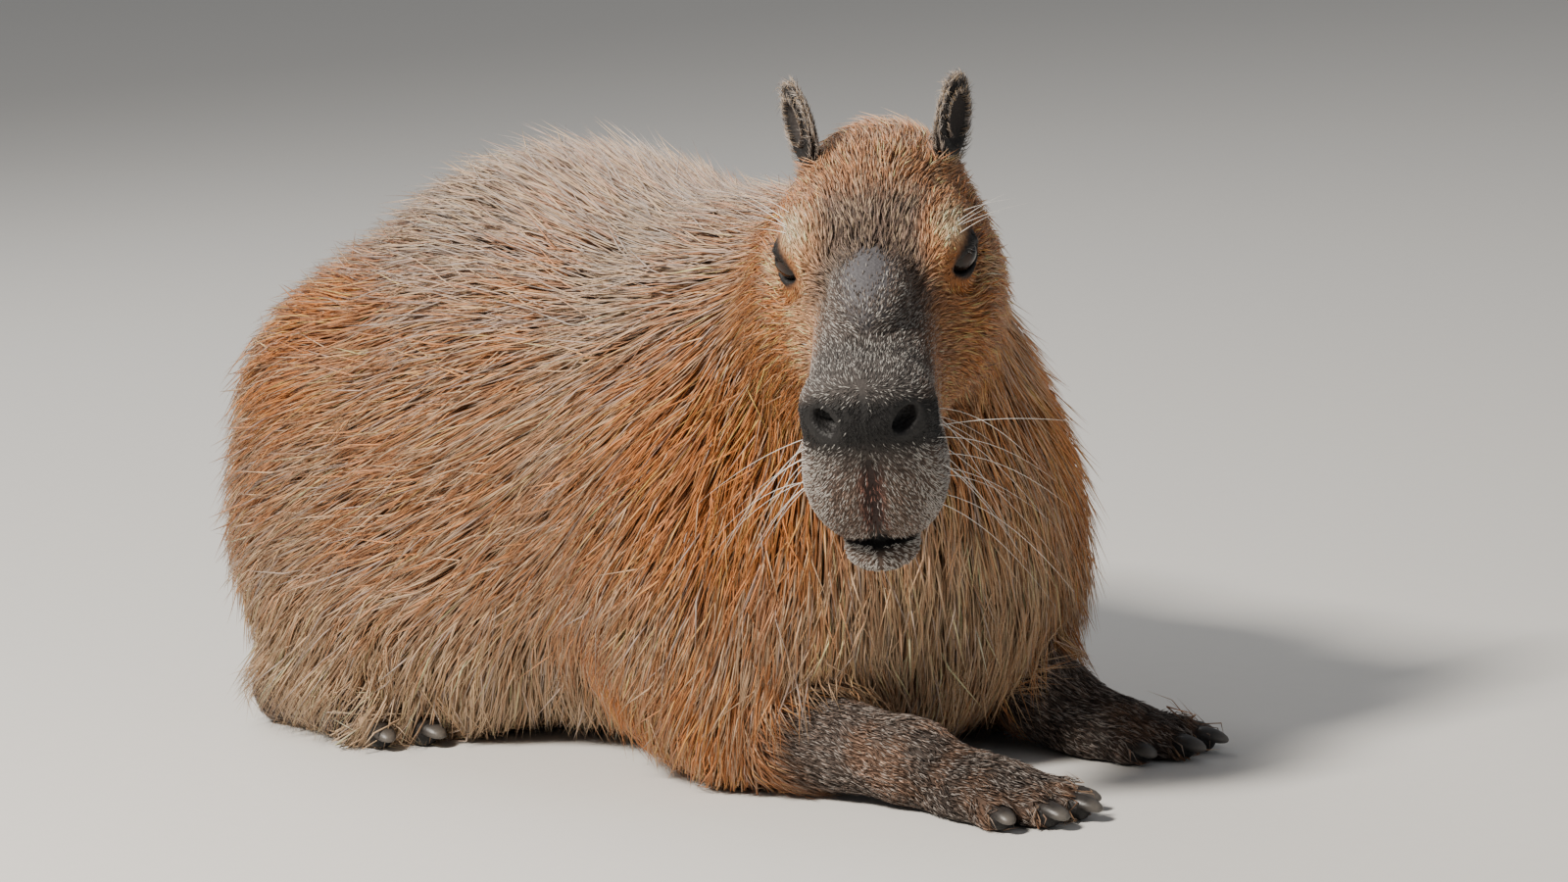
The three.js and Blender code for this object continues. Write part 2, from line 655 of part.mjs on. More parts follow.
function mouthLine() {
  const leftSide = MOUTH.map((v) => new THREE.Vector3(...v));
  const rightSide = MOUTH.slice(0, -1).reverse().map((v) => new THREE.Vector3(...mirror(v, -1)));
  const path = new THREE.CatmullRomCurve3([...leftSide, ...rightSide]);
  const section = new THREE.Shape([new THREE.Vector2(-1.5, -9), new THREE.Vector2(1.5, -9), new THREE.Vector2(1.5, 9), new THREE.Vector2(-1.5, 9)]);
  const geometry = new THREE.ExtrudeGeometry(section, { steps: 14, extrudePath: path, bevelEnabled: false });
  return solid(geometry.applyMatrix4(headFrame));
}

// Upper and lower lid: the two halves of a ring round the eyeball.
function lids(sign) {
  const frame = headFrame.clone().multiply(new THREE.Matrix4().makeTranslation(EYE_CENTRE[0], EYE_CENTRE[1] * sign, EYE_CENTRE[2]));
  const ring = new THREE.TorusGeometry(EYE_RADIUS - 1, 4.5, 7, 16).scale(1.25, 0.92, 1);
  ring.rotateX(Math.PI / 2).rotateZ(-0.12 * sign).translate(0, 8 * sign, 0);
  return solid(ring.applyMatrix4(frame));
}

let head = headWhole.intersect(headBox(0));
for (const sign of [1, -1]) {
  head = head.add(lids(sign));
}
for (const [side, sign] of [['left', 1], ['right', -1]]) {
  const socket = ball(headFrame, mirror(EYE_CENTRE, sign), Array(3).fill(EYE_RADIUS + GAP), 12, 8);
  const slit = ball(headFrame, [EYE_CENTRE[0], (EYE_CENTRE[1] + 20) * sign, EYE_CENTRE[2]], [14, 20, 9.5], 10, 8);
  head = head.subtract(socket).subtract(slit).subtract(earShape(sign, GAP)).subtract(nostril(sign));
  addNode(`eye_${side}`, ball(headFrame, mirror(EYE_CENTRE, sign), Array(3).fill(EYE_RADIUS), 12, 8), EYE, 0.08);
  addNode(`ear_${side}`, earShape(sign, 0), LEG);
}
head = head.subtract(mouthLine());
addNode('head', head, FACE);

const TOES = [
  { turn: 24, side: 24, start: 14, length: 44, radius: 10.5, claw: 22 },
  { turn: 7, side: 9, start: 24, length: 52, radius: 11.5, claw: 25 },
  { turn: -8, side: -9, start: 23, length: 50, radius: 11.5, claw: 25 },
  { turn: -26, side: -24, start: 10, length: 42, radius: 10.5, claw: 22 },
];
const HIND_TOES = [
  { turn: 14, side: 19, start: 16, length: 50, radius: 12, claw: 26 },
  { turn: 0, side: 0, start: 24, length: 60, radius: 13, claw: 29 },
  { turn: -14, side: -19, start: 16, length: 50, radius: 12, claw: 26 },
];

const body = whole.subtract(headBox(GAP)).subtract(earShape(1, GAP)).subtract(earShape(-1, GAP));
let rest = body;
for (const [side, sign] of [['left', 1], ['right', -1]]) {
  const arm = ARMS[side];
  const foot = FEET[side];
  const limb = arms[side](0);
  const wristFrame = frameAlong(arm.wrist, arm.wrist.map((v, i) => (i === 2 ? 0 : v - arm.elbow[i])));
  const pawBox = (grow) => framedBox(wristFrame, [-grow, -90, -200], [220, 90, 200]);
  const handSpace = paw(`forepaw_${side}`, limb.intersect(pawBox(0)), arms[side](GROWN), arm.paw, arm.heading, TOES);
  const footSpace = paw(`hind_foot_${side}`, feet[side](0), feet[side](GROWN), foot.ball, foot.heading, HIND_TOES);
  const forearm = limb.subtract(pawBox(GAP));
  const upper = body.intersect(roundCut(SHOULDER_CUT, sign, 0));
  addNode(`foreleg_${side}`, upper.add(forearm).subtract(FLOOR), LEG);
  addNode(`thigh_${side}`, body.intersect(roundCut(THIGH_CUT, sign, 0)).subtract(footSpace), HIDE);
  rest = rest.subtract(handSpace).subtract(footSpace);
  rest = rest.subtract(roundCut(SHOULDER_CUT, sign, GAP)).subtract(roundCut(THIGH_CUT, sign, GAP));
}
addNode('neck', rest.intersect(neckBox(0)), HIDE);
addNode('torso', rest.subtract(neckBox(GAP)), HIDE);

export default model;
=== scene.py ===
"""Capybara lying on its belly: hide, coat, face, eyes, ears, claws and stage, in metres."""

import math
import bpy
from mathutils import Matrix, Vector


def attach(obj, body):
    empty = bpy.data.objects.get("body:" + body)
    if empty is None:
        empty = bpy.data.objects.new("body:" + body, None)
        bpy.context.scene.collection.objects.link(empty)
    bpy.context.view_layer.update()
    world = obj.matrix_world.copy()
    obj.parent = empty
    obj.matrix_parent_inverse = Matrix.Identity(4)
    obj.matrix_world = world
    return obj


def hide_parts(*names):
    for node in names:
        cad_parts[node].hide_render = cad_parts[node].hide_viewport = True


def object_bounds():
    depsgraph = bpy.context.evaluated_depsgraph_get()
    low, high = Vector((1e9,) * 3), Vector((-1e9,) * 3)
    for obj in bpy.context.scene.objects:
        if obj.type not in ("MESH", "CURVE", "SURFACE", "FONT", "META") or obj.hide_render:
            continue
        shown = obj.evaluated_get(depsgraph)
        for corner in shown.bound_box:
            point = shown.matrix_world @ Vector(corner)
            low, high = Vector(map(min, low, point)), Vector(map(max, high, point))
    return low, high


bl_info = {
    "name": "Lying Capybara",
    "version": (1, 0, 0),
    "blender": (4, 5, 0),
    "location": "View3D > Sidebar > Capybara",
    "description": "Builds a life-size lying capybara around its packed solids",
    "category": "Add Mesh",
}

import bpy
import numpy as np
from mathutils import Matrix, Vector

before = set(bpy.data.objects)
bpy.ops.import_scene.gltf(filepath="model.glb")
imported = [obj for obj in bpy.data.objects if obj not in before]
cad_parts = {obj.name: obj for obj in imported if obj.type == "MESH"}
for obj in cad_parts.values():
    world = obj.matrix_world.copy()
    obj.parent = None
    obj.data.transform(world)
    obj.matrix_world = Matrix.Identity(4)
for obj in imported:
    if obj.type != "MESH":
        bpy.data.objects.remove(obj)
SOLID_BOX = [list(corner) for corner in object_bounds()]
NODES = sorted(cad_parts)
CLAW_NODES = [name for name in NODES if "_claw_" in name]
EYE_NODES = [name for name in NODES if name.startswith("eye_")]
FLESH_NODES = [name for name in NODES if name not in CLAW_NODES + EYE_NODES]
SIDES = (("left", 1.0), ("right", -1.0))

# Trunk at the skin: centre and radii of each rounded mass.
TRUNK = (
    ((0, 0.335, 0.172), (0.148, 0.135, 0.150)),
    ((0, 0.165, 0.213), (0.172, 0.195, 0.200)),
    ((0, 0, 0.200), (0.170, 0.230, 0.182)),
    ((0, -0.110, 0.205), (0.150, 0.140, 0.170)),
    ((0, -0.190, 0.150), (0.105, 0.075, 0.110)),
    ((0.082, 0.315, 0.248), (0.060, 0.090, 0.060)),
    ((-0.082, 0.315, 0.248), (0.060, 0.090, 0.060)),
    ((0.125, 0.250, 0.110), (0.062, 0.140, 0.115)),
    ((-0.125, 0.250, 0.110), (0.062, 0.140, 0.115)),
    ((0.118, -0.120, 0.125), (0.055, 0.085, 0.110)),
    ((-0.118, -0.120, 0.125), (0.055, 0.085, 0.110)),
)
TRUNK_BLEND = 0.070
BELLY = ((0, 0.020, 0.108), (0.115, 0.200, 0.105))
BELLY_BLEND = 0.020
NECK_FROM = (0, -0.080, 0.250)
NECK_TO = (-0.036, -0.215, 0.352)
NECK_RADII = (0.130, 0.074)
NECK_BLEND = 0.060
HEAD_BLEND = 0.034

# Head in its own frame: X to the snout, Y left, Z up, from between the eyes.
EYE_MIDDLE = np.array((-0.112, -0.305, 0.391))
HEAD_TURN = math.radians(-47)
HEAD_PITCH = math.radians(27)
SKULL = (
    ((-0.055, 0, -0.012), (0.095, 0.060, 0.052)),
    ((-0.005, 0.048, 0.008), (0.032, 0.018, 0.022)),
    ((-0.005, -0.048, 0.008), (0.032, 0.018, 0.022)),
    ((-0.035, 0.038, -0.062), (0.072, 0.036, 0.058)),
    ((-0.035, -0.038, -0.062), (0.072, 0.036, 0.058)),
    ((0.050, 0, -0.117), (0.106, 0.034, 0.035)),
    ((0.138, 0.020, -0.084), (0.034, 0.025, 0.040)),
    ((0.138, -0.020, -0.084), (0.034, 0.025, 0.040)),
    ((0.150, 0, -0.022), (0.026, 0.040, 0.024)),
)
SKULL_BLEND = 0.026
SNOUT_AT = (0.075, 0, -0.053)
SNOUT_HALF = (0.095, 0.041, 0.057)
SNOUT_ROUND = 0.032
LOWER_LIP_AT = (0.149, 0, -0.1385)
LOWER_LIP_SIZE = (0.024, 0.025, 0.0100)
LOWER_LIP_BLEND = 0.012
GLAND_AT = (0.060, 0, 0.012)
GLAND_SIZE = (0.042, 0.027, 0.020)
GLAND_BLEND = 0.014
EYE_RADIUS = 0.0145
EYE_AT = (0, 0.055, 0)
EYE_CLEARANCE = 0.0002
EYE_DENT_AT = (0.040, 0.071, 0.002)
EYE_DENT_SIZE = (0.026, 0.019, 0.020)
EYE_DENT_BLEND = 0.014
LID_THICKNESS = 0.0030
LID_BLEND = 0.007
LID_OPENING_AT = (0.0085, 0.0150, -0.0022)
LID_OPENING_SIZE = (0.0165, 0.0200, 0.0092)
LID_EDGE = 0.0022
NOSTRIL_AT = (0.171, 0.028, -0.017)
NOSTRIL_SIZE = (0.014, 0.011, 0.007)
NOSTRIL_TURN = 0.5
LIP_SPLIT = ((0.1765, 0, -0.050), (0.1745, 0, -0.120), 0.0020, 0.0035)
MOUTH = (
    (0.066, 0.044, -0.108),
    (0.104, 0.039, -0.116),
    (0.136, 0.030, -0.121),
    (0.154, 0.016, -0.123),
    (0.161, 0, -0.122),
)
LIP_RADII = (0.0016, 0.0024, 0.0032, 0.0044, 0.0050)
EAR_ROOT = (-0.088, 0.050, 0.024)
EAR_HEIGHT = 0.054
EAR_WIDTH = 0.033
EAR_THICK = 0.014
EAR_LEAN = 0.3
EAR_SPLAY = 0.16
EAR_TURN = 1.0
EAR_BLEND = 0.006

# Legs: elbow, wrist and middle of the palm, and the way that each paw points.
ARMS = {
    "right": ((-0.122, -0.150, 0.046), (-0.101, -0.300, 0.032), (-0.091, -0.372, 0.015), (0.12, -1)),
    "left": ((0.118, -0.150, 0.050), (0.093, -0.241, 0.036), (0.103, -0.291, 0.015), (0.34, -0.9)),
}
ELBOW_RADIUS = 0.040
WRIST_RADIUS = 0.025
PALM_RADIUS = 0.019
PALM_SIZE = (0.036, 0.046, 0.019)
HEEL_RADIUS = 0.027
SOLE_RADIUS = 0.025
BALL_SIZE = (0.033, 0.036, 0.020)
LIMB_BLEND = 0.012
FEET = {
    "right": ((-0.160, 0.343, 0.026), (-0.160, 0.243, 0.022), (-0.05, -1)),
    "left": ((0.160, 0.343, 0.026), (0.160, 0.243, 0.022), (0.05, -1)),
}
# Toes: turn in degrees, place across and ahead of the palm, length, radius, claw length.
FORE_TOES = (
    (24, 0.024, 0.014, 0.044, 0.0105, 0.022),
    (7, 0.009, 0.024, 0.052, 0.0115, 0.025),
    (-8, -0.009, 0.023, 0.050, 0.0115, 0.025),
    (-26, -0.024, 0.010, 0.042, 0.0105, 0.022),
)
HIND_TOES = (
    (14, 0.019, 0.016, 0.050, 0.012, 0.026),
    (0, 0, 0.024, 0.060, 0.013, 0.029),
    (-14, -0.019, 0.016, 0.050, 0.012, 0.026),
)

# Lowest points of skin, claws and hairs, just above the floor.
SKIN_CUT = 0.0006
SKIN_LOWEST = 0.0005
CLAW_LOWEST = 0.0006
TUFT_LOWEST = 0.0022

# Steepness of the coat below level, along the flank from chest to rump.
LIE_PLACES = (-0.270, -0.130, 0.0, 0.120, 0.300, 0.400, 0.500)
LIE_STEEPNESS = np.radians((88, 60, 36, 27, 32, 45, 80))


def head_axes():
    turn = Matrix.Rotation(-math.pi / 2 + HEAD_TURN, 3, "Z")
    pitch = Matrix.Rotation(HEAD_PITCH, 3, "Y")
    return np.array(turn @ pitch)


HEAD_AXES = head_axes()


def to_head(p):
    return (p - EYE_MIDDLE) @ HEAD_AXES


def from_head(q):
    return np.asarray(q) @ HEAD_AXES.T + EYE_MIDDLE


def mirrored(at, sign):
    """A place of the head's frame on the left side (1) or on the right side (-1)."""
    return np.array((at[0], at[1] * sign, at[2]))


def paws():
    """Name, side, middle, heading and toes of each forepaw and hind foot."""
    for side, _ in SIDES:
        yield "forepaw", side, ARMS[side][2], ARMS[side][3], FORE_TOES
        yield "hind_foot", side, FEET[side][1], FEET[side][2], HIND_TOES


def smooth_min(a, b, k):
    h = np.maximum(k - np.abs(a - b), 0.0) / k
    return np.minimum(a, b) - h * h * k * 0.25


def smooth_cut(a, b, k):
    """Shape a with shape b taken out of it."""
    return -smooth_min(-a, b, k)


def ellipsoid(p, at, size, grow=0.0):
    r = np.asarray(size, float) + grow
    q = (p - np.asarray(at, float)) / r
    k0 = np.sqrt((q * q).sum(-1))
    k1 = np.sqrt(((q / r) ** 2).sum(-1))
    return k0 * (k0 - 1.0) / np.maximum(k1, 1e-9)


def round_cone(p, start, end, r0, r1):
    a = np.asarray(start, float)
    b = np.asarray(end, float) - a
    t = np.clip((p - a) @ b / (b @ b), 0.0, 1.0)
    return np.linalg.norm(p - a - t[:, None] * b, axis=-1) - (r0 + (r1 - r0) * t)


def round_box(p, at, half, edge):
    q = np.abs(p - np.asarray(at, float)) - np.asarray(half, float) + edge
    outside = np.linalg.norm(np.maximum(q, 0.0), axis=-1)
    return outside + np.minimum(q.max(-1), 0.0) - edge


def trunk_field(p):
    d = None
    for at, size in TRUNK:
        e = ellipsoid(p, at, size)
        d = e if d is None else smooth_min(d, e, TRUNK_BLEND)
    d = smooth_min(d, ellipsoid(p, *BELLY), BELLY_BLEND)
    return smooth_min(d, round_cone(p, NECK_FROM, NECK_TO, *NECK_RADII), NECK_BLEND)


def skull_field(q):
    d = round_box(q, SNOUT_AT, SNOUT_HALF, SNOUT_ROUND)
    for at, size in SKULL:
        d = smooth_min(d, ellipsoid(q, at, size), SKULL_BLEND)
    d = smooth_min(d, ellipsoid(q, LOWER_LIP_AT, LOWER_LIP_SIZE), LOWER_LIP_BLEND)
    for sign in (1, -1):
        dent = ellipsoid(q, mirrored(EYE_DENT_AT, sign), EYE_DENT_SIZE)
        d = smooth_cut(d, dent, EYE_DENT_BLEND)
    return smooth_min(d, ellipsoid(q, GLAND_AT, GLAND_SIZE), GLAND_BLEND)


def ear_frame(sign):
    """Axes and root of one ear in the head's frame."""
    splay = Matrix.Rotation(-EAR_SPLAY * sign, 3, "X")
    lean = Matrix.Rotation(-EAR_LEAN, 3, "Y")
    turn = Matrix.Rotation(EAR_TURN * sign, 3, "Z")
    return np.array(splay @ lean @ turn), mirrored(EAR_ROOT, sign)


def ear_field(q, sign, cupped=True):
    axes, root = ear_frame(sign)
    e = (q - root) @ axes
    size = (EAR_THICK / 2, EAR_WIDTH / 2, EAR_HEIGHT * 0.58)
    outer = ellipsoid(e, (0, 0, EAR_HEIGHT * 0.42), size)
    if not cupped:
        return outer
    cup_at = (EAR_THICK * 0.62, 0, EAR_HEIGHT * 0.5)
    cup = ellipsoid(e, cup_at, (EAR_THICK * 0.80, EAR_WIDTH * 0.41, EAR_HEIGHT * 0.43))
    return smooth_cut(outer, cup, 0.003)


def toe_places(centre, heading, toes):
    """Start, direction, length, radius and claw length of each toe."""
    yaw = math.atan2(heading[1], heading[0])
    for turn, side, ahead, length, radius, claw in toes:
        a = yaw + math.radians(turn)
        forward = Vector((math.cos(a), math.sin(a), -0.1)).normalized()
        at = Vector((
            centre[0] - math.sin(yaw) * side + math.cos(yaw) * ahead,
            centre[1] + math.cos(yaw) * side + math.sin(yaw) * ahead,
            radius + 0.0025,
        ))
        yield np.array(at), np.array(forward), length, radius, claw


def toes_field(p, centre, heading, toes):
    d = None
    for at, forward, length, radius, _ in toe_places(centre, heading, toes):
        end = at + forward * (length - radius)
        toe = round_cone(p, at - forward * 0.012, end, radius, radius * 0.80)
        knuckle = ellipsoid(p, at + forward * length * 0.42, (radius * 1.12,) * 3)
        toe = smooth_min(toe, knuckle, 0.006)
        d = toe if d is None else smooth_min(d, toe, 0.0035)
    return d


def arm_field(p, side):
    elbow, wrist, palm_at, _ = ARMS[side]
    upper = round_cone(p, elbow, wrist, ELBOW_RADIUS, WRIST_RADIUS)
    palm = ellipsoid(p, palm_at, PALM_SIZE)
    lower = round_cone(p, wrist, palm_at, WRIST_RADIUS, PALM_RADIUS)
    return smooth_min(smooth_min(upper, lower, 0.020), palm, 0.022)


def foot_field(p, side):
    heel, ball_at, _ = FEET[side]
    sole = round_cone(p, heel, ball_at, HEEL_RADIUS, SOLE_RADIUS)
    return smooth_min(sole, ellipsoid(p, ball_at, BALL_SIZE), 0.020)


def near(p, centre, reach):
    return np.linalg.norm(p - np.asarray(centre), axis=-1) < reach


def smooth_field(p):
    """Distance to the skin's main forms, without the small features of the face."""
    d = trunk_field(p)
    m = near(p, from_head((0.04, 0, -0.04)), 0.27)
    if m.any():
        d[m] = smooth_min(d[m], skull_field(to_head(p[m])), HEAD_BLEND)
    for side, _ in SIDES:
        for limb, middle in ((arm_field, ARMS[side][1]), (foot_field, FEET[side][1])):
            m = near(p, middle, 0.22)
            if m.any():
                d[m] = smooth_min(d[m], limb(p[m], side), LIMB_BLEND)
    return d


def lip_distance(q, grow):
    """Distance to the line between the lips, which opens toward the front."""
    d = np.full(len(q), 1.0)
    for i in range(len(MOUTH) - 1):
        for sign in (1, -1):
            a, b = (mirrored(at, sign) for at in MOUTH[i:i + 2])
            d = np.minimum(d, round_cone(q, a, b, LIP_RADII[i] + grow, LIP_RADII[i + 1] + grow))
    return d


def coat_field(p):
    """Distance to the forms that the coat lies on: main forms, ears and toes."""
    d = smooth_field(p)
    m = near(p, from_head((-0.08, 0, 0.04)), 0.13)
    if m.any():
        q = to_head(p[m])
        for _, sign in SIDES:
            d[m] = smooth_min(d[m], ear_field(q, sign, cupped=False), EAR_BLEND)
    return add_toes(p, d)


def add_toes(p, d):
    for _, _, centre, heading, toes in paws():
        m = near(p, centre, 0.13)
        if m.any():
            d[m] = smooth_min(d[m], toes_field(p[m], centre, heading, toes), 0.008)
    return d


def face_detail(q, d):
    """Lids, nostrils, lips and the mouth's line on the head, in the head's frame."""
    for _, sign in SIDES:
        eye = mirrored(EYE_AT, sign)
        m = near(q, eye, 0.045)
        if m.any():
            local = q[m] - eye
            lid = np.linalg.norm(local, axis=-1) - (EYE_RADIUS + LID_THICKNESS)
            shape = smooth_min(d[m], lid, LID_BLEND)
            slit = ellipsoid(local, mirrored(LID_OPENING_AT, sign), LID_OPENING_SIZE)
            shape = smooth_cut(shape, slit, LID_EDGE)
            ball = np.linalg.norm(local, axis=-1) - (EYE_RADIUS + EYE_CLEARANCE)
            d[m] = np.maximum(shape, -ball)
        at = mirrored(NOSTRIL_AT, sign)
        m = near(q, at, 0.04)
        if m.any():
            angle = NOSTRIL_TURN * sign
            turn = Matrix.Rotation(angle, 3, "Z") @ Matrix.Rotation(angle, 3, "X")
            hole = ellipsoid((q[m] - at) @ np.array(turn), (0, 0, 0), NOSTRIL_SIZE)
            d[m] = smooth_cut(d[m], hole, 0.004)
    d = smooth_cut(d, lip_distance(q, 0.0), 0.005)
    return smooth_cut(d, round_cone(q, *LIP_SPLIT), 0.008)


def skin_field(p):
    """Distance to the whole skin, with face, ears and toes, cut level at the floor."""
    d = smooth_field(p)
    m = near(p, from_head((0.04, 0, -0.03)), 0.21)
    if m.any():
        q = to_head(p[m])
        part = face_detail(q, d[m])
        for _, sign in SIDES:
            part = smooth_min(part, ear_field(q, sign), EAR_BLEND)
        d[m] = part
    return np.maximum(add_toes(p, d), SKIN_CUT - p[:, 2])


def slope(field, p, h=0.0006):
    g = np.empty_like(p)
    for axis in range(3):
        step = np.zeros(3)
        step[axis] = h
        g[:, axis] = field(p + step) - field(p - step)
    return g / (2 * h)


def unit(v):
    return v / np.maximum(np.linalg.norm(v, axis=-1, keepdims=True), 1e-9)


def in_chunks(field, p, size=200000):
    return np.concatenate([field(p[i:i + size]) for i in range(0, len(p), size)])


def spaced(stops):
    """Grid lines from (place, spacing to the next place) pairs."""
    lines = [stops[0][0]]
    for (start, gap), (end, _) in zip(stops[:-1], stops[1:]):
        count = max(1, round((end - start) / gap))
        lines.extend(start + (end - start) * (i + 1) / count for i in range(count))
    return np.array(lines)


def grid_values(field, lines, block=4):
    """Field values on the grid, worked out only where the surface may pass."""
    shape = [len(line) for line in lines]
    values = np.full(shape, 1.0)
    picks = [np.unique(np.append(np.arange(0, n, block), n - 1)) for n in shape]
    coarse = np.stack(np.meshgrid(*[l[k] for l, k in zip(lines, picks)], indexing="ij"), -1)
    rough = in_chunks(field, coarse.reshape(-1, 3)).reshape(coarse.shape[:3])
    gap = [np.diff(l[k]).max() for l, k in zip(lines, picks)]
    reach = 1.1 * math.sqrt(sum(g * g for g in gap))
    active = np.zeros(shape, bool)
    for i, j, k in np.argwhere(np.abs(rough) < reach):
        low = [max(p[max(c - 1, 0)], 0) for p, c in zip(picks, (i, j, k))]
        high = [p[min(c + 1, len(p) - 1)] + 1 for p, c in zip(picks, (i, j, k))]
        active[low[0]:high[0], low[1]:high[1], low[2]:high[2]] = True
    inside = rough < 0
    nearest = [np.minimum((np.arange(n) + block // 2) // block, len(p) - 1) for n, p in zip(shape, picks)]
    values[inside[np.ix_(*nearest)]] = -1.0
    where = np.argwhere(active)
    points = np.stack([l[where[:, a]] for a, l in enumerate(lines)], -1)
    values[active] = in_chunks(field, points)
    return values


CORNERS = np.array([(i, j, k) for i in (0, 1) for j in (0, 1) for k in (0, 1)])


def surface_mesh(field, lines):
    """Vertices and quads of the surface where the field is zero."""
    v = grid_values(field, lines)
    inside = v < 0
    total = sum(
        inside[i:v.shape[0] - 1 + i, j:v.shape[1] - 1 + j, k:v.shape[2] - 1 + k].astype(np.int8)
        for i, j, k in CORNERS
    )
    cells = np.argwhere((total > 0) & (total < 8))
    number = np.full(total.shape, -1, np.int64)
    number[tuple(cells.T)] = np.arange(len(cells))
    corner_values = np.stack([v[tuple((cells + c).T)] for c in CORNERS], 1)
    place = [np.stack([l[cells[:, a] + c] for c in (0, 1)], 1) for a, l in enumerate(lines)]
    corner_places = np.stack(
        [np.stack([place[a][:, c[a]] for a in range(3)], -1) for c in CORNERS], 1
    )
    sums = np.zeros((len(cells), 3))
    counts = np.zeros(len(cells))
    for a in range(8):
        for b in range(a + 1, 8):
            if np.abs(CORNERS[a] - CORNERS[b]).sum() != 1:
                continue
            va, vb = corner_values[:, a], corner_values[:, b]
            crossed = (va < 0) != (vb < 0)
            t = np.where(crossed, va / np.where(crossed, va - vb, 1.0), 0.0)
            point = corner_places[:, a] + t[:, None] * (corner_places[:, b] - corner_places[:, a])
            sums += np.where(crossed[:, None], point, 0.0)
            counts += crossed
    points = sums / np.maximum(counts, 1)[:, None]
    quads = []
    for axis in range(3):
        ahead = np.take(inside, range(1, v.shape[axis]), axis)
        here = np.take(inside, range(0, v.shape[axis] - 1), axis)
        edges = np.argwhere(here != ahead)
        u, w = [(1, 2), (2, 0), (0, 1)][axis]
        edges = edges[(edges[:, u] > 0) & (edges[:, w] > 0)]
        edges = edges[(edges[:, u] < v.shape[u] - 1) & (edges[:, w] < v.shape[w] - 1)]
        steps = np.zeros((4, 3), int)
        steps[1, u] = steps[2, u] = -1
        steps[2, w] = steps[3, w] = -1
        quad = np.stack([number[tuple((edges + s).T)] for s in steps], 1)
        outward = inside[tuple(edges.T)]
        quad[~outward] = quad[~outward][:, ::-1]
        quads.append(quad)
    return points, np.concatenate(quads)


def settle(field, points, reach=0.0015, rounds=3):
    """Moves points onto the field's surface, each by a limited step."""
    start = points.copy()
    for _ in range(rounds):
        g = slope(field, points)
        move = -field(points)[:, None] * g / np.maximum((g * g).sum(-1, keepdims=True), 0.2)
        points = points + np.clip(move, -reach, reach)
    away = points - start
    size = np.linalg.norm(away, axis=-1, keepdims=True)
    return start + away * np.minimum(1.0, 2 * reach / np.maximum(size, 1e-9))


def new_mesh(name, points, faces):
    """A linked object from arrays of vertices and equal-sided faces."""
    mesh = bpy.data.meshes.new(name)
    faces = np.asarray(faces, np.int32)
    mesh.vertices.add(len(points))
    mesh.vertices.foreach_set("co", np.asarray(points, np.float32).ravel())
    mesh.loops.add(faces.size)
    mesh.loops.foreach_set("vertex_index", faces.ravel())
    mesh.polygons.add(len(faces))
    mesh.polygons.foreach_set("loop_start", np.arange(0, faces.size, faces.shape[1], dtype=np.int32))
    mesh.polygons.foreach_set("use_smooth", np.ones(len(faces), bool))
    mesh.update(calc_edges=True)
    mesh.validate()
    obj = bpy.data.objects.new(name, mesh)
    bpy.context.scene.collection.objects.link(obj)
    return obj


def put_colour(mesh, name, rgb):
    layer = mesh.attributes.new(name, "FLOAT_COLOR", "POINT")
    rgba = np.ones((len(rgb), 4), np.float32)
    rgba[:, :3] = rgb
    layer.data.foreach_set("color", rgba.ravel())


def put_value(mesh, name, values):
    layer = mesh.attributes.new(name, "FLOAT", "POINT")
    layer.data.foreach_set("value", np.asarray(values, np.float32))


def soft_noise(p, scale, seed):
    """Smooth values from about -1 to 1 that wander with the place."""
    rng = np.random.default_rng(seed)
    total = np.zeros(len(p))
    for _ in range(6):
        way = unit(rng.normal(size=3))
        total += np.sin(p @ way * (2 * math.pi / scale) * rng.uniform(0.6, 1.5) + rng.uniform(0, 7))
    return total / 2.6


def ramp(x, low, high):
    t = np.clip((x - low) / (high - low), 0.0, 1.0)
    return t * t * (3 - 2 * t)


def blob(p, at, size):
    """A mask that is 1 at the centre and fades to 0 at the given radii."""
    r = np.sqrt((((p - np.asarray(at)) / np.asarray(size)) ** 2).sum(-1))
    return 1.0 - ramp(r, 0.35, 1.0)


def mix(a, b, t):
    return a + (np.asarray(b, float) - a) * np.asarray(t)[:, None]


def regions(p):
    """Masks of head, snout, face, legs and trunk at each point."""
    q = to_head(p)
    head = 1.0 - ramp(skull_field(q), 0.004, 0.030)
    head *= ramp(q[:, 0], -0.125, -0.075)
    snout = head * ramp(q[:, 0], 0.0, 0.070)
    arm = np.minimum(arm_field(p, "left"), arm_field(p, "right"))
    arm = (1.0 - ramp(arm, 0.006, 0.020)) * (1.0 - ramp(p[:, 1], -0.215, -0.170))
    foot = np.minimum(foot_field(p, "left"), foot_field(p, "right"))
    foot = (1.0 - ramp(foot, 0.004, 0.010)) * (1.0 - ramp(p[:, 2], 0.046, 0.060))
    return q, head, snout, np.maximum(arm * (1 - head), foot)


# Tan patches over and under the eye, in the head's frame: place, radii and strength.
PALE_PATCHES = (
    ((0.008, 0.055, 0.024), (0.030, 0.018, 0.015), 0.95),
    ((-0.02, 0.062, -0.026), (0.03, 0.02, 0.012), 0.40),
)
RUST_PATCHES = (
    ((0.15, 0.26, 0.305), (0.10, 0.13, 0.10)),
    ((0.15, -0.10, 0.060), (0.11, 0.16, 0.12)),
    ((0.12, -0.17, 0.250), (0.10, 0.10, 0.13)),
)


def nose_band(q):
    """The dark band across the nostrils, in the head's frame."""
    slant = 0.809 * q[:, 2] - 0.588 * q[:, 0]
    band = ramp(slant, -0.140, -0.124) * (1.0 - ramp(slant, -0.106, -0.092))
    return band * ramp(q[:, 0], 0.120, 0.140)


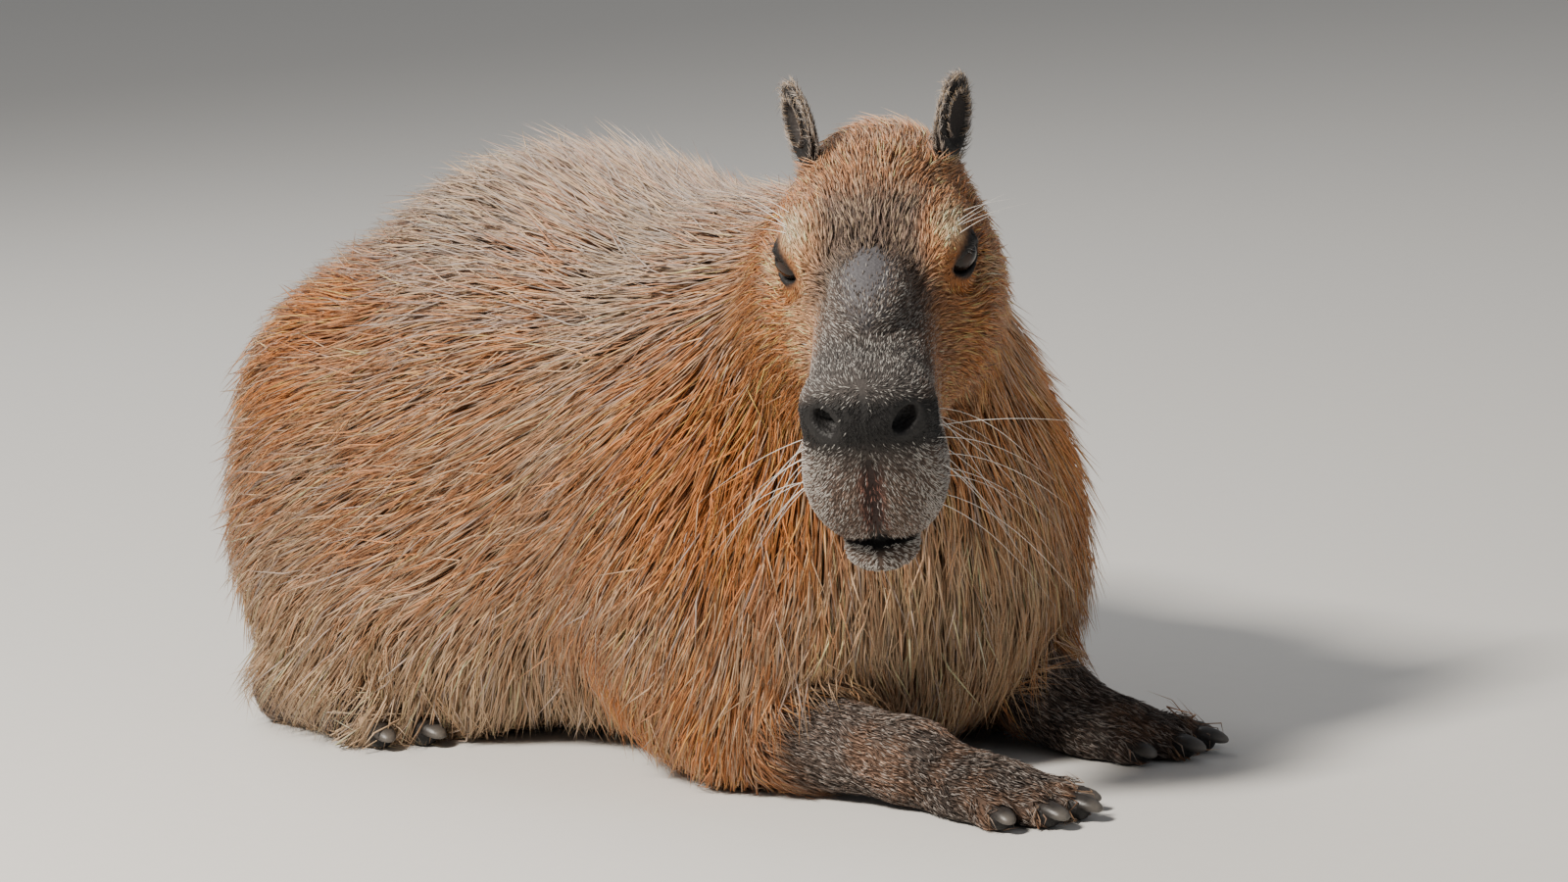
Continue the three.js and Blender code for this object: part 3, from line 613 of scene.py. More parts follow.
def rust_mask(p):
    """Orange patches of hip, lower shoulder and the side of the neck."""
    mask = np.zeros(len(p))
    for at, size in RUST_PATCHES:
        for sign in (1.0, -1.0):
            mask = np.maximum(mask, blob(p, (at[0] * sign, at[1], at[2]), size))
    return mask


def markings(p, colours):
    """Colour of the hide and coat at each point, the same rule for both."""
    q, head, snout, leg = regions(p)
    n = len(p)
    wander = soft_noise(p, 0.16, 3)
    fine = soft_noise(p, 0.045, 4)
    rgb = np.tile(np.array(colours.flank), (n, 1))
    height = p[:, 2] + 0.018 * wander
    back = ramp(height, 0.300, 0.400) * (1.0 - ramp(p[:, 1], 0.30, 0.44))
    back = back * ramp(p[:, 1], -0.22, -0.05)
    rgb = mix(rgb, colours.back, 0.85 * back)
    low = 0.62 * (1.0 - ramp(height, 0.03, 0.17)) * ramp(p[:, 1], -0.16, 0.05)
    rgb = mix(rgb, colours.straw, low)
    rgb = mix(rgb, colours.rust, 0.85 * rust_mask(p))
    rgb = mix(rgb, colours.straw, 0.45 * blob(p, (-0.02, -0.25, 0.15), (0.14, 0.10, 0.12)))
    rgb = mix(rgb, colours.straw, 0.22 * ramp(wander, 0.2, 1.0))
    rgb = mix(rgb, colours.back, 0.25 * ramp(fine, 0.3, 1.0))
    rgb = mix(rgb, colours.crown, head * (1.0 - ramp(q[:, 0], -0.03, 0.03)))
    side = np.abs(q[:, 1])
    cheek = 0.75 * head * ramp(side, 0.045, 0.062) * (1.0 - ramp(q[:, 0], 0.03, 0.08))
    rgb = mix(rgb, colours.rust, cheek)
    between = head * (1.0 - ramp(side, 0.026, 0.046)) * ramp(q[:, 0], -0.045, 0.0)
    rgb = mix(rgb, colours.mask, 0.92 * between * ramp(q[:, 2], -0.05, -0.01))
    bridge = 0.85 * snout * (1.0 - ramp(side, 0.030, 0.050)) * ramp(q[:, 2], -0.08, -0.03)
    rgb = mix(rgb, colours.mask, bridge)
    rgb = mix(rgb, colours.muzzle, 0.85 * head * ramp(q[:, 0], 0.075, 0.120))
    rgb = mix(rgb, colours.nose, head * nose_band(q))
    split = ramp(q[:, 0], 0.145, 0.160) * (1.0 - ramp(side, 0.004, 0.011))
    split = split * (1.0 - ramp(q[:, 2], -0.062, -0.046))
    rgb = mix(rgb, colours.philtrum, 0.9 * head * split * ramp(q[:, 2], -0.112, -0.100))
    rgb = mix(rgb, colours.nose, head * (1.0 - ramp(lip_distance(q, 0.002), 0.0, 0.006)))
    for sign in (1.0, -1.0):
        for at, size, strength in PALE_PATCHES:
            rgb = mix(rgb, colours.pale, strength * blob(q, mirrored(at, sign), size))
        eye = mirrored(EYE_AT, sign)
        lid = 1.0 - ramp(np.linalg.norm(q - eye, axis=-1), EYE_RADIUS + 0.0040, EYE_RADIUS + 0.0075)
        rgb = mix(rgb, colours.nose, lid * head)
        ear = ear_field(q, sign, cupped=False)
        rgb = mix(rgb, colours.ear, 1.0 - ramp(ear, 0.001, 0.005))
    rgb = mix(rgb, colours.leg, leg * (1.0 - 0.25 * ramp(fine, 0.0, 1.0)))
    paws = np.maximum(blob(p, ARMS["left"][2], (0.10,) * 3), blob(p, ARMS["right"][2], (0.10,) * 3))
    return rgb * (1.0 - 0.45 * paws * leg)[:, None]


def hide_colours(p, colours):
    """Colour of the hide: the markings at half strength where furred, a painted shade under the coat, and
    dark skin where bare.
    """
    # Painted shade: where furred, the hide is the markings at half their brightness.
    rgb = markings(p, colours) * 0.5
    rgb = mix(rgb, colours.nose, bare_mask(p))
    gland = 1.0 - ramp(ellipsoid(to_head(p), GLAND_AT, (0.040, 0.021, 0.022)), 0.0, 0.006)
    return np.clip(mix(rgb, colours.gland, 0.9 * gland), 0, 1)


def bare_mask(p):
    """1 where the skin is bare: gland, nose pad, lips, toes and the cup of the ear."""
    q, head, _, _ = regions(p)
    gland = 0.80 * (1.0 - ramp(ellipsoid(q, GLAND_AT, (0.036, 0.018, 0.021)), 0.0, 0.005))
    rims = np.zeros(len(p))
    for sign in (1.0, -1.0):
        rim = np.linalg.norm(q - mirrored(NOSTRIL_AT, sign), axis=-1)
        rims = np.maximum(rims, 1.0 - ramp(rim, 0.013, 0.018))
    pad = 0.50 * nose_band(q)
    height = q[:, 2]
    split = 0.7 * ((np.abs(q[:, 1]) < 0.006) & (q[:, 0] > 0.14) & (height < -0.045) & (height > -0.120))
    lip = 1.0 - ramp(lip_distance(q, 0.001), 0.0, 0.003)
    bare = np.maximum.reduce([gland, rims, pad, lip, split]) * head
    for sign in (1.0, -1.0):
        eye = mirrored(EYE_AT, sign)
        lid = 1.0 - ramp(np.linalg.norm(q - eye, axis=-1), EYE_RADIUS + 0.0035, EYE_RADIUS + 0.0075)
        axes, root = ear_frame(sign)
        e = (q - root) @ axes
        cup = (1.0 - ramp(ear_field(q, sign, cupped=False), 0.0, 0.002)) * ramp(e[:, 0], 0.0005, 0.003)
        bare = np.maximum.reduce([bare, lid * head, cup])
    for _, _, centre, heading, toes in paws():
        for at, forward, length, radius, _ in toe_places(centre, heading, toes):
            along = (p - at) @ forward
            toe = round_cone(p, at, at + forward * length, radius * 1.2, radius * 1.2)
            bare = np.maximum(bare, (toe < 0) * ramp(along, length * 0.45, length * 0.75))
    return bare


def lie_of(p, normal):
    """The way the hair lies at each point, along the surface."""
    q, head, snout, leg = regions(p)
    flank = ramp(0.95 - normal[:, 2], 0.0, 0.65)
    angle = np.interp(p[:, 1], LIE_PLACES, LIE_STEEPNESS) * flank
    lie = np.stack([np.zeros(len(p)), np.cos(angle), -np.sin(angle)], -1)
    side = np.sign(q[:, 1])
    drop = 0.25 + 0.9 * ramp(-q[:, 2], 0.0, 0.09)
    spread = 0.35 * ramp(np.abs(q[:, 1]), 0.0, 0.05)
    back = np.stack([-np.ones(len(p)), spread * side, -drop * (1 - 0.6 * snout)], -1)
    front = ramp(q[:, 0], 0.150, 0.168)[:, None]
    back = back * (1 - front) + np.stack([-0.2 * np.ones(len(p)), 0.5 * side, -np.ones(len(p))], -1) * front
    lie = lie * (1 - head[:, None]) + (unit(back) @ HEAD_AXES.T) * head[:, None]
    hang = ramp(0.14 - p[:, 2], 0.0, 0.09)[:, None] * ramp(p[:, 1], -0.14, -0.04)[:, None]
    lie = lie * (1 - 0.6 * hang) + np.array((0.0, 0.0, -0.8)) * hang
    for _, sign in SIDES:
        away = q - mirrored(EYE_AT, sign) - (0.006, 0, 0)
        part = 0.85 * (1.0 - ramp(np.linalg.norm(away, axis=-1), 0.018, 0.034))[:, None]
        lie = lie * (1 - part) + (unit(away) @ HEAD_AXES.T) * part
        axes, root = ear_frame(sign)
        e = (q - root) @ axes
        flare = np.stack([0.25 * np.sign(e[:, 0]), e[:, 1] / (EAR_WIDTH / 2), np.ones(len(p))], -1)
        up = unit(flare @ axes.T) @ HEAD_AXES.T
        ear = (1.0 - ramp(ear_field(q, sign, cupped=False), 0.002, 0.005))[:, None]
        lie = lie * (1 - ear) + up * ear
    down_leg = np.array((0.05, -1.0, -0.25))
    lie = lie * (1 - leg[:, None]) + unit(down_leg) * leg[:, None]
    lie = lie - (lie * normal).sum(-1, keepdims=True) * normal
    return unit(lie)


def ear_masks(q):
    """Masks of the ears and of their rims, where the hair is longer and pale."""
    whole = np.zeros(len(q))
    rim = np.zeros(len(q))
    for _, sign in SIDES:
        axes, root = ear_frame(sign)
        e = (q - root) @ axes
        on_ear = 1.0 - ramp(ear_field(q, sign, cupped=False), 0.002, 0.005)
        edge = np.hypot(e[:, 1] / (EAR_WIDTH / 2), (e[:, 2] - EAR_HEIGHT * 0.42) / (EAR_HEIGHT * 0.58))
        whole = np.maximum(whole, on_ear)
        rim = np.maximum(rim, on_ear * ramp(edge, 0.72, 0.95))
    return whole, rim


def coat_form(p):
    """Length, lift and width of the tufts at each point, and how dense they are."""
    q, head, snout, leg = regions(p)
    side = np.abs(q[:, 1])
    length = np.full(len(p), 0.068)
    lift = np.full(len(p), 0.0210)
    width = np.full(len(p), 0.0015)
    near_head = 1.0 - ramp(np.linalg.norm(p - from_head((-0.09, 0, -0.03)), axis=-1), 0.05, 0.15)
    length += (0.044 - length) * near_head
    lift += (0.012 - lift) * near_head
    cheek = ramp(side, 0.030, 0.056) * ramp(-q[:, 2], -0.01, 0.045) * (1 - ramp(q[:, 0], -0.02, 0.06))
    face_length = 0.015 + 0.028 * cheek - 0.010 * ramp(q[:, 0], 0.0, 0.07)
    face_lift = 0.0042 + 0.0090 * cheek - 0.0028 * ramp(q[:, 0], 0.0, 0.07)
    crown = (1 - ramp(q[:, 0], -0.075, -0.030)) * (1 - cheek)
    face_length += 0.006 * crown
    face_lift += 0.0030 * crown
    length += (face_length - length) * head
    lift += (face_lift - lift) * head
    width += (0.0011 - 0.0005 * snout - width) * head
    for _, sign in SIDES:
        away = q - mirrored(EYE_AT, sign) - (0.004, 0, 0)
        by_eye = head * (1.0 - ramp(np.linalg.norm(away, axis=-1), 0.019, 0.036))
        length += (0.0060 - length) * by_eye
        lift += (0.0014 - lift) * by_eye
        width += (0.0007 - width) * by_eye
    spine = ramp(p[:, 2], 0.30, 0.40) * (1 - head) * (1.0 - ramp(np.abs(p[:, 0]), 0.05, 0.13))
    lift += 0.010 * spine * ramp(p[:, 1], -0.05, 0.05)
    skirt = ramp(0.13 - p[:, 2], 0.0, 0.08) * ramp(p[:, 1], -0.14, -0.02) * (1 - head)
    length += 0.012 * skirt
    lift += 0.006 * skirt
    whole, rim = ear_masks(q)
    length += (0.0065 + 0.0050 * rim - length) * whole
    lift += (0.0026 + 0.0036 * rim - lift) * whole
    width += (0.00050 - width) * whole
    length += (0.013 - length) * leg
    lift += (0.0028 - lift) * leg
    width += (0.0010 - width) * leg
    density = 1.0 + 3.2 * head + 4.2 * snout + 2.2 * leg + 11.0 * whole
    return length, lift, width, density


def unwrap_place(p):
    """Place on an unwrap of the skin: trunk, head and limbs each rolled out in a strip."""
    q, head, _, leg = regions(p)
    u = 0.03 + 0.60 * np.clip((p[:, 1] + 0.36) / 0.90, 0, 1)
    v = 0.03 + 0.94 * (0.5 + np.arctan2(p[:, 0], p[:, 2] - 0.20) / (2 * math.pi))
    head_u = 0.68 + 0.29 * np.clip((q[:, 0] + 0.14) / 0.34, 0, 1)
    head_v = 0.50 + 0.47 * (0.5 + np.arctan2(q[:, 1], q[:, 2] + 0.05) / (2 * math.pi))
    limb = np.where(p[:, 0] > 0, 0.25, 0.03)
    limb_u = 0.68 + 0.29 * np.clip((p[:, 1] + 0.45) / 0.90, 0, 1)
    limb_v = limb + 0.19 * (0.5 + np.arctan2(np.abs(p[:, 0]) - 0.12, p[:, 2] - 0.02) / (2 * math.pi))
    on_head = head > 0.5
    on_leg = leg > 0.5
    u = np.where(on_head, head_u, np.where(on_leg, limb_u, u))
    v = np.where(on_head, head_v, np.where(on_leg, limb_v, v))
    return np.stack([u, v], -1)


TUFT_SIDES = 3
TUFT_RINGS = (0.0, 0.46)
TUFT_WIDTHS = (0.80, 1.0)
TUFT_PATCH = 0.003
ROOT_DEPTH = 0.002


def tuft_faces():
    faces = [(0, 2, 1)]
    rings = len(TUFT_RINGS)
    for ring in range(rings - 1):
        for side in range(TUFT_SIDES):
            a = ring * TUFT_SIDES + side
            b = ring * TUFT_SIDES + (side + 1) % TUFT_SIDES
            faces.append((a, b, b + TUFT_SIDES))
            faces.append((a, b + TUFT_SIDES, a + TUFT_SIDES))
    tip = rings * TUFT_SIDES
    for side in range(TUFT_SIDES):
        faces.append((tip - TUFT_SIDES + side, tip - TUFT_SIDES + (side + 1) % TUFT_SIDES, tip))
    return np.array(faces)


def tuft_paths(roots, normals, coat, rng):
    """Points along each tuft, bent over the skin and lifted towards the tip."""
    length, lift, width, _ = coat_form(roots)
    n = len(roots)
    clump = soft_noise(roots, 0.034, 11) * 0.13 + soft_noise(roots, 0.013, 12) * 0.10
    stray = rng.normal(size=n)
    turn = clump + 0.11 * stray
    wild = rng.random(n) < coat.stray_share
    turn = np.where(wild, turn * 2.2, turn)
    length = length * (0.72 + 0.5 * rng.random(n)) * coat.length_scale
    rise = lift * (0.35 + 0.65 * rng.random(n)) * np.where(wild, 1.35, 1.0)
    here = roots.copy()
    normal = normals
    points = [roots - normals * ROOT_DEPTH]
    shares = np.diff(TUFT_RINGS + (1.0,))
    for step, share in enumerate(shares):
        lie = lie_of(here, normal)
        across = np.cross(lie, normal)
        bend = (turn * (0.5 + 0.5 * step))[:, None]
        here = here + unit(lie + across * bend) * (length * share)[:, None]
        along = TUFT_RINGS[step + 1] if step + 1 < len(TUFT_RINGS) else 1.0
        target = rise * along ** 0.8
        for _ in range(2):
            g = slope(coat_field, here)
            miss = target - coat_field(here)
            step_out = np.clip(miss / np.maximum((g * g).sum(-1), 0.3), -0.010, 0.010)
            here = here + g * step_out[:, None]
        normal = unit(slope(coat_field, here))
        here[:, 2] = np.maximum(here[:, 2], TUFT_LOWEST)
        points.append(here.copy())
    return points, width * (0.75 + 0.5 * rng.random(n))


def tuft_mesh(points, normals, width):
    """Vertices of every tuft, ring by ring and then the tip, one row of points each."""
    rows = []
    for ring in range(len(TUFT_RINGS)):
        along = unit(points[ring + 1] - points[max(ring - 1, 0)])
        across = unit(np.cross(along, normals))
        up = unit(np.cross(across, along))
        half = (width * 0.5 * TUFT_WIDTHS[ring])[:, None]
        rows.append(points[ring] + across * half)
        rows.append(points[ring] - across * half)
        rows.append(points[ring] + up * half * 0.8)
    rows.append(points[-1])
    return np.stack(rows, 1)


def tuft_colours(roots, colours, rng):
    """Root and tip colour of each tuft: the markings, mixed with grey and straw hairs, with dark roots as
    painted shade deep in the coat.
    """
    base = markings(roots, colours)
    n = len(roots)
    q, head, snout, leg = regions(roots)
    pick = rng.random(n)
    tone = np.exp((0.34 + 0.16 * np.maximum(head, leg)) * rng.normal(size=n))
    tip = base * (1.20 * tone)[:, None]
    trunk = (1 - head) * (1 - leg)
    low = 1.0 - ramp(roots[:, 2], 0.08, 0.22)
    rear = ramp(roots[:, 1], 0.30, 0.44)
    orange = rust_mask(roots)
    straw = (pick < (colours.straw_share + 0.25 * np.maximum(low, rear)) * (1.0 - 0.75 * orange)) * trunk
    tip = mix(tip, colours.straw, 0.78 * straw)
    high = ramp(roots[:, 2], 0.26, 0.38)
    grey = (pick > 1.0 - colours.grey_share * (0.4 + 1.4 * high) * (1.0 - 0.8 * orange)) * trunk
    tip = mix(tip, colours.grey, 0.70 * grey)
    edge = ramp(np.abs(q[:, 1]), 0.020, 0.040) * (1.0 - ramp(q[:, 2], -0.040, -0.020))
    chin = 1.0 - ramp(q[:, 2], -0.132, -0.124)
    share = 0.24 + 0.50 * np.maximum(edge, chin) * ramp(q[:, 0], 0.09, 0.13)
    grizzle = (pick < share * (1.0 - 0.93 * nose_band(q))) * snout * ramp(q[:, 0], 0.02, 0.08)
    tip = mix(tip, colours.whisker, 0.85 * grizzle)
    tan = (pick > 0.74) * head * (1.0 - snout)
    tip = mix(tip, colours.straw, 0.55 * tan)
    # Painted sheen: pale grey tips on some leg tufts stand for the grey sheen of the legs.
    leg_painted_sheen = (pick < 0.30) * leg
    tip = mix(tip, colours.grey, 0.50 * leg_painted_sheen)
    whole, rim = ear_masks(q)
    tip = mix(tip, colours.grey, 0.38 * np.maximum(whole * 0.3, rim) * (pick > 0.60))
    # Painted shade: roots at an eighth to a quarter of the markings, the dark depth of the coat.
    root = base * (0.13 + 0.12 * rng.random(n))[:, None]
    # On the ears the painted shade at the roots is lighter.
    root = mix(root, base * 0.7, whole)
    return np.clip(root, 0, 1), np.clip(tip, 0, 1)


def sample_roots(mesh, count, rng):
    """Root points spread over the skin by area and density."""
    mesh.calc_loop_triangles()
    n = len(mesh.loop_triangles)
    corners = np.empty(n * 3, np.int32)
    mesh.loop_triangles.foreach_get("vertices", corners)
    corners = corners.reshape(-1, 3)
    places = np.empty(len(mesh.vertices) * 3, np.float32)
    mesh.vertices.foreach_get("co", places)
    places = places.reshape(-1, 3).astype(float)
    a, b, c = (places[corners[:, k]] for k in range(3))
    area = np.linalg.norm(np.cross(b - a, c - a), axis=-1) / 2
    middle = (a + b + c) / 3
    density = coat_form(middle)[3]
    bare = bare_mask(middle)
    weight = area * density * np.clip(1.0 - 1.15 * bare, 0, 1) * (middle[:, 2] > 0.004)
    chosen = rng.choice(n, size=count, p=weight / weight.sum())
    s = np.sqrt(rng.random(count))
    t = rng.random(count)
    shares = (1 - s, s * (1 - t), s * t)
    return sum(corner[chosen] * share[:, None] for corner, share in zip((a, b, c), shares))


def operator_settings(context):
    scene = context.scene
    return scene.capybara_coat, scene.capybara_colours, scene.capybara_stage


class CoatSettings(bpy.types.PropertyGroup):
    tufts: bpy.props.IntProperty(
        name="Tufts", description="Number of tufts in the coat", default=148000, min=1000
    )
    seed: bpy.props.IntProperty(name="Seed", description="Seed of the coat's random draw", default=5)
    length_scale: bpy.props.FloatProperty(
        name="Length", description="Length of the coat as a share", default=1.0, subtype="FACTOR"
    )
    stray_share: bpy.props.FloatProperty(
        name="Strays", description="Share of hairs that stand off the coat", default=0.15, subtype="FACTOR"
    )
    whiskers: bpy.props.IntProperty(
        name="Whiskers", description="Whiskers on each side of the muzzle", default=15, min=1
    )
    whisker_radius: bpy.props.FloatProperty(
        name="Whisker radius", description="Radius at the root", default=0.00027, unit="LENGTH"
    )


def colour_property(name, description, rgb):
    return bpy.props.FloatVectorProperty(
        name=name, description=description, size=3, subtype="COLOR", min=0, max=1, default=rgb
    )


class ColourSettings(bpy.types.PropertyGroup):
    flank: colour_property("Flank", "Reddish brown of the flank", (0.640, 0.275, 0.110))
    back: colour_property("Back", "Grey brown along the spine", (0.400, 0.285, 0.225))
    straw: colour_property("Straw", "Pale hair of the lower flank and chest", (0.900, 0.660, 0.430))
    rust: colour_property("Rust", "Orange of hip, shoulder and cheek", (0.720, 0.250, 0.060))
    crown: colour_property("Crown", "Orange brown of the forehead", (0.520, 0.240, 0.110))
    mask: colour_property("Mask", "Dark face between the eyes", (0.120, 0.090, 0.075))
    muzzle: colour_property("Muzzle", "Grey of the muzzle", (0.110, 0.098, 0.092))
    nose: colour_property("Nose", "Bare skin of nose and gland", (0.010, 0.009, 0.009))
    gland: colour_property("Gland", "Bare grey skin on top of the snout", (0.105, 0.100, 0.108))
    philtrum: colour_property("Philtrum", "Pinkish brown groove under the nose", (0.230, 0.095, 0.070))
    pale: colour_property("Pale", "Tan patches round the eyes", (0.820, 0.560, 0.340))
    ear: colour_property("Ear", "Dark grey of the ears", (0.085, 0.072, 0.068))
    leg: colour_property("Leg", "Dark brown of legs and paws", (0.165, 0.122, 0.100))
    grey: colour_property("Grey hair", "Silvery hairs in the coat", (0.680, 0.610, 0.560))
    whisker: colour_property("White hair", "Whiskers and grizzle", (0.860, 0.820, 0.760))
    straw_share: bpy.props.FloatProperty(
        name="Straw hairs", description="Share of straw hairs", default=0.32, subtype="FACTOR"
    )
    grey_share: bpy.props.FloatProperty(
        name="Grey hairs", description="Share of silvery hairs", default=0.20, subtype="FACTOR"
    )


class StageSettings(bpy.types.PropertyGroup):
    azimuth: bpy.props.FloatProperty(
        name="Azimuth", description="Turn of the camera", default=math.radians(-40.74), subtype="ANGLE"
    )
    elevation: bpy.props.FloatProperty(
        name="Elevation", description="Height angle of the camera", default=math.radians(9), subtype="ANGLE"
    )
    roll: bpy.props.FloatProperty(
        name="Roll", description="Tilt of the camera", default=math.radians(3.485), subtype="ANGLE"
    )
    distance: bpy.props.FloatProperty(
        name="Distance", description="From the camera to its target", default=4.9, unit="LENGTH"
    )
    lens: bpy.props.FloatProperty(name="Lens", description="Focal length in mm", default=153.75)
    target: bpy.props.FloatVectorProperty(
        name="Target", description="Point that the camera looks at", default=(0.0058, -0.06, 0.2241),
        subtype="XYZ", unit="LENGTH"
    )


def material(name):
    """A new node material: its tree, links and Principled shader."""
    made = bpy.data.materials.new(name)
    made.use_nodes = True
    tree = made.node_tree
    shader = tree.nodes["Principled BSDF"]
    return made, tree, shader


def add_node(tree, kind, **inputs):
    node = tree.nodes.new(kind)
    for key, value in inputs.items():
        node.inputs[key.replace("_", " ")].default_value = value
    return node


def read_attribute(tree, name):
    node = tree.nodes.new("ShaderNodeAttribute")
    node.attribute_name = name
    return node


def grain_group():
    """Shared fine variation: a colour multiplier and a height, from object coordinates."""
    if "fine_grain" in bpy.data.node_groups:
        return bpy.data.node_groups["fine_grain"]
    group = bpy.data.node_groups.new("fine_grain", "ShaderNodeTree")
    face = group.interface
    for name, default in (("Scale", 200.0), ("Depth", 0.3)):
        socket = face.new_socket(name, in_out="INPUT", socket_type="NodeSocketFloat")
        socket.default_value = default
    face.new_socket("Colour", in_out="INPUT", socket_type="NodeSocketColor")
    face.new_socket("Colour", in_out="OUTPUT", socket_type="NodeSocketColor")
    face.new_socket("Height", in_out="OUTPUT", socket_type="NodeSocketFloat")
    start = group.nodes.new("NodeGroupInput")
    end = group.nodes.new("NodeGroupOutput")
    place = group.nodes.new("ShaderNodeTexCoord")
    noise = add_node(group, "ShaderNodeTexNoise", Detail=4.0, Roughness=0.6)
    spread = group.nodes.new("ShaderNodeMapRange")
    spread.inputs["To Max"].default_value = 1.0
    less = group.nodes.new("ShaderNodeMath")
    less.operation = "SUBTRACT"
    less.inputs[0].default_value = 1.0
    blend = group.nodes.new("ShaderNodeMix")
    blend.data_type = "RGBA"
    blend.blend_type = "MULTIPLY"
    blend.inputs["Factor"].default_value = 1.0
    group.links.new(place.outputs["Object"], noise.inputs["Vector"])
    group.links.new(start.outputs["Scale"], noise.inputs["Scale"])
    group.links.new(start.outputs["Depth"], less.inputs[1])
    group.links.new(less.outputs[0], spread.inputs["To Min"])
    group.links.new(noise.outputs["Fac"], spread.inputs["Value"])
    group.links.new(start.outputs["Colour"], blend.inputs[6])
    group.links.new(spread.outputs["Result"], blend.inputs[7])
    group.links.new(blend.outputs[2], end.inputs["Colour"])
    group.links.new(noise.outputs["Fac"], end.inputs["Height"])
    return group


def add_grain(tree, scale, depth):
    node = tree.nodes.new("ShaderNodeGroup")
    node.node_tree = grain_group()
    node.inputs["Scale"].default_value = scale
    node.inputs["Depth"].default_value = depth
    return node


def add_bump(tree, height, strength, distance):
    node = add_node(tree, "ShaderNodeBump", Strength=strength, Distance=distance)
    tree.links.new(height, node.inputs["Height"])
    return node


def hide_material():
    """Hide with fine pores, smoother where the bare mask says that it has no fur."""
    made, tree, shader = material("hide")
    # The hide's colour attribute carries painted shade under the coat.
    hide_with_painted_shade = read_attribute(tree, "hide_with_painted_shade")
    bare = read_attribute(tree, "bare")
    grain = add_grain(tree, 420.0, 0.45)
    pores = add_node(tree, "ShaderNodeTexVoronoi", Scale=420.0)
    shader.inputs["Specular IOR Level"].default_value = 0.32
    place = tree.nodes.new("ShaderNodeTexCoord")
    tree.links.new(place.outputs["Object"], pores.inputs["Vector"])
    tree.links.new(hide_with_painted_shade.outputs["Color"], grain.inputs["Colour"])
    tree.links.new(grain.outputs["Colour"], shader.inputs["Base Color"])
    rough = tree.nodes.new("ShaderNodeMapRange")
    rough.inputs["To Min"].default_value = 0.85
    rough.inputs["To Max"].default_value = 0.56
    tree.links.new(bare.outputs["Fac"], rough.inputs["Value"])
    tree.links.new(rough.outputs["Result"], shader.inputs["Roughness"])
    fine = add_bump(tree, grain.outputs["Height"], 0.5, 0.0012)
    pitted = add_bump(tree, pores.outputs["Distance"], 0.45, 0.0010)
    tree.links.new(fine.outputs["Normal"], pitted.inputs["Normal"])
    tree.links.new(pitted.outputs["Normal"], shader.inputs["Normal"])
    return made


def coat_material():
    """Bristly hair: the tuft's own colour, finely varied, with a soft gloss."""
    made, tree, shader = material("coat")
    colour = read_attribute(tree, "hair")
    grain = add_grain(tree, 900.0, 0.35)
    tree.links.new(colour.outputs["Color"], grain.inputs["Colour"])
    tree.links.new(grain.outputs["Colour"], shader.inputs["Base Color"])
    shader.inputs["Roughness"].default_value = 0.48
    shader.inputs["Specular IOR Level"].default_value = 0.20
    shader.inputs["Sheen Weight"].default_value = 0.04
    return made


def eye_material():
    """Dark brown iris round a wide pupil, under a wet clear coat."""
    made, tree, shader = material("eye")
    colour = read_attribute(tree, "eye")
    grain = add_grain(tree, 1500.0, 0.5)
    tree.links.new(colour.outputs["Color"], grain.inputs["Colour"])
    tree.links.new(grain.outputs["Colour"], shader.inputs["Base Color"])
    shader.inputs["Roughness"].default_value = 0.14
    shader.inputs["Specular IOR Level"].default_value = 0.12
    shader.inputs["Coat Weight"].default_value = 0.35
    shader.inputs["Coat Roughness"].default_value = 0.04
    return made


def claw_material():
    """Blunt dark horn with a fine grain, scuffed paler at the end of each claw."""
    made, tree, shader = material("claw")
    colour = read_attribute(tree, "horn")
    grain = add_grain(tree, 600.0, 0.5)
    tree.links.new(colour.outputs["Color"], grain.inputs["Colour"])
    tree.links.new(grain.outputs["Colour"], shader.inputs["Base Color"])
    shader.inputs["Roughness"].default_value = 0.42
    bump = add_bump(tree, grain.outputs["Height"], 0.3, 0.0006)
    tree.links.new(bump.outputs["Normal"], shader.inputs["Normal"])
    return made


def hair_material(name, rgb):
    made, tree, shader = material(name)
    grain = add_grain(tree, 300.0, 0.25)
    grain.inputs["Colour"].default_value = (*rgb, 1)
    tree.links.new(grain.outputs["Colour"], shader.inputs["Base Color"])
    shader.inputs["Roughness"].default_value = 0.35
    return made


def floor_material():
    made, tree, shader = material("floor")
    grain = add_grain(tree, 60.0, 0.04)
    grain.inputs["Colour"].default_value = FLOOR_COLOUR
    tree.links.new(grain.outputs["Colour"], shader.inputs["Base Color"])
    shader.inputs["Roughness"].default_value = 0.85
    return made


def finish_piece(obj, slot, made, *nodes):
    obj.data.materials.append(made)
    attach(obj, "root")
    if nodes:
        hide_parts(*nodes)


HEAD_FINE = 0.0033
TRUNK_COARSE = 0.0075


def skin_lines():
    x = spaced([(-0.29, HEAD_FINE), (0.06, 0.0035), (0.19, TRUNK_COARSE), (0.27, 0)])
    y = spaced([(-0.49, HEAD_FINE), (-0.20, 0.005), (-0.12, TRUNK_COARSE), (0.56, 0)])
    z = spaced([(-0.02, 0.0032), (0.075, 0.0065), (0.20, HEAD_FINE), (0.53, 0)])
    return [x, y, z]


class CAPYBARA_OT_skin(bpy.types.Operator):
    """Builds the one skin of head, ears, trunk, legs and paws"""

    bl_idname = "capybara.skin"
    bl_label = "Skin"

    def execute(self, context):
        _, colours, _ = operator_settings(context)
        points, quads = surface_mesh(skin_field, skin_lines())
        points = settle(skin_field, points)
        points[:, 2] = np.maximum(points[:, 2], SKIN_LOWEST)
        skin = new_mesh("skin", points, quads)
        if len(skin.data.polygons) < 20000:
            raise RuntimeError("the skin's surface is too coarse")
        put_colour(skin.data, "hide_with_painted_shade", hide_colours(points, colours))
        put_value(skin.data, "bare", bare_mask(points))
        finish_piece(skin, "coat", hide_material(), *FLESH_NODES)
        return {"FINISHED"}


PIECE_TUFTS = 19000


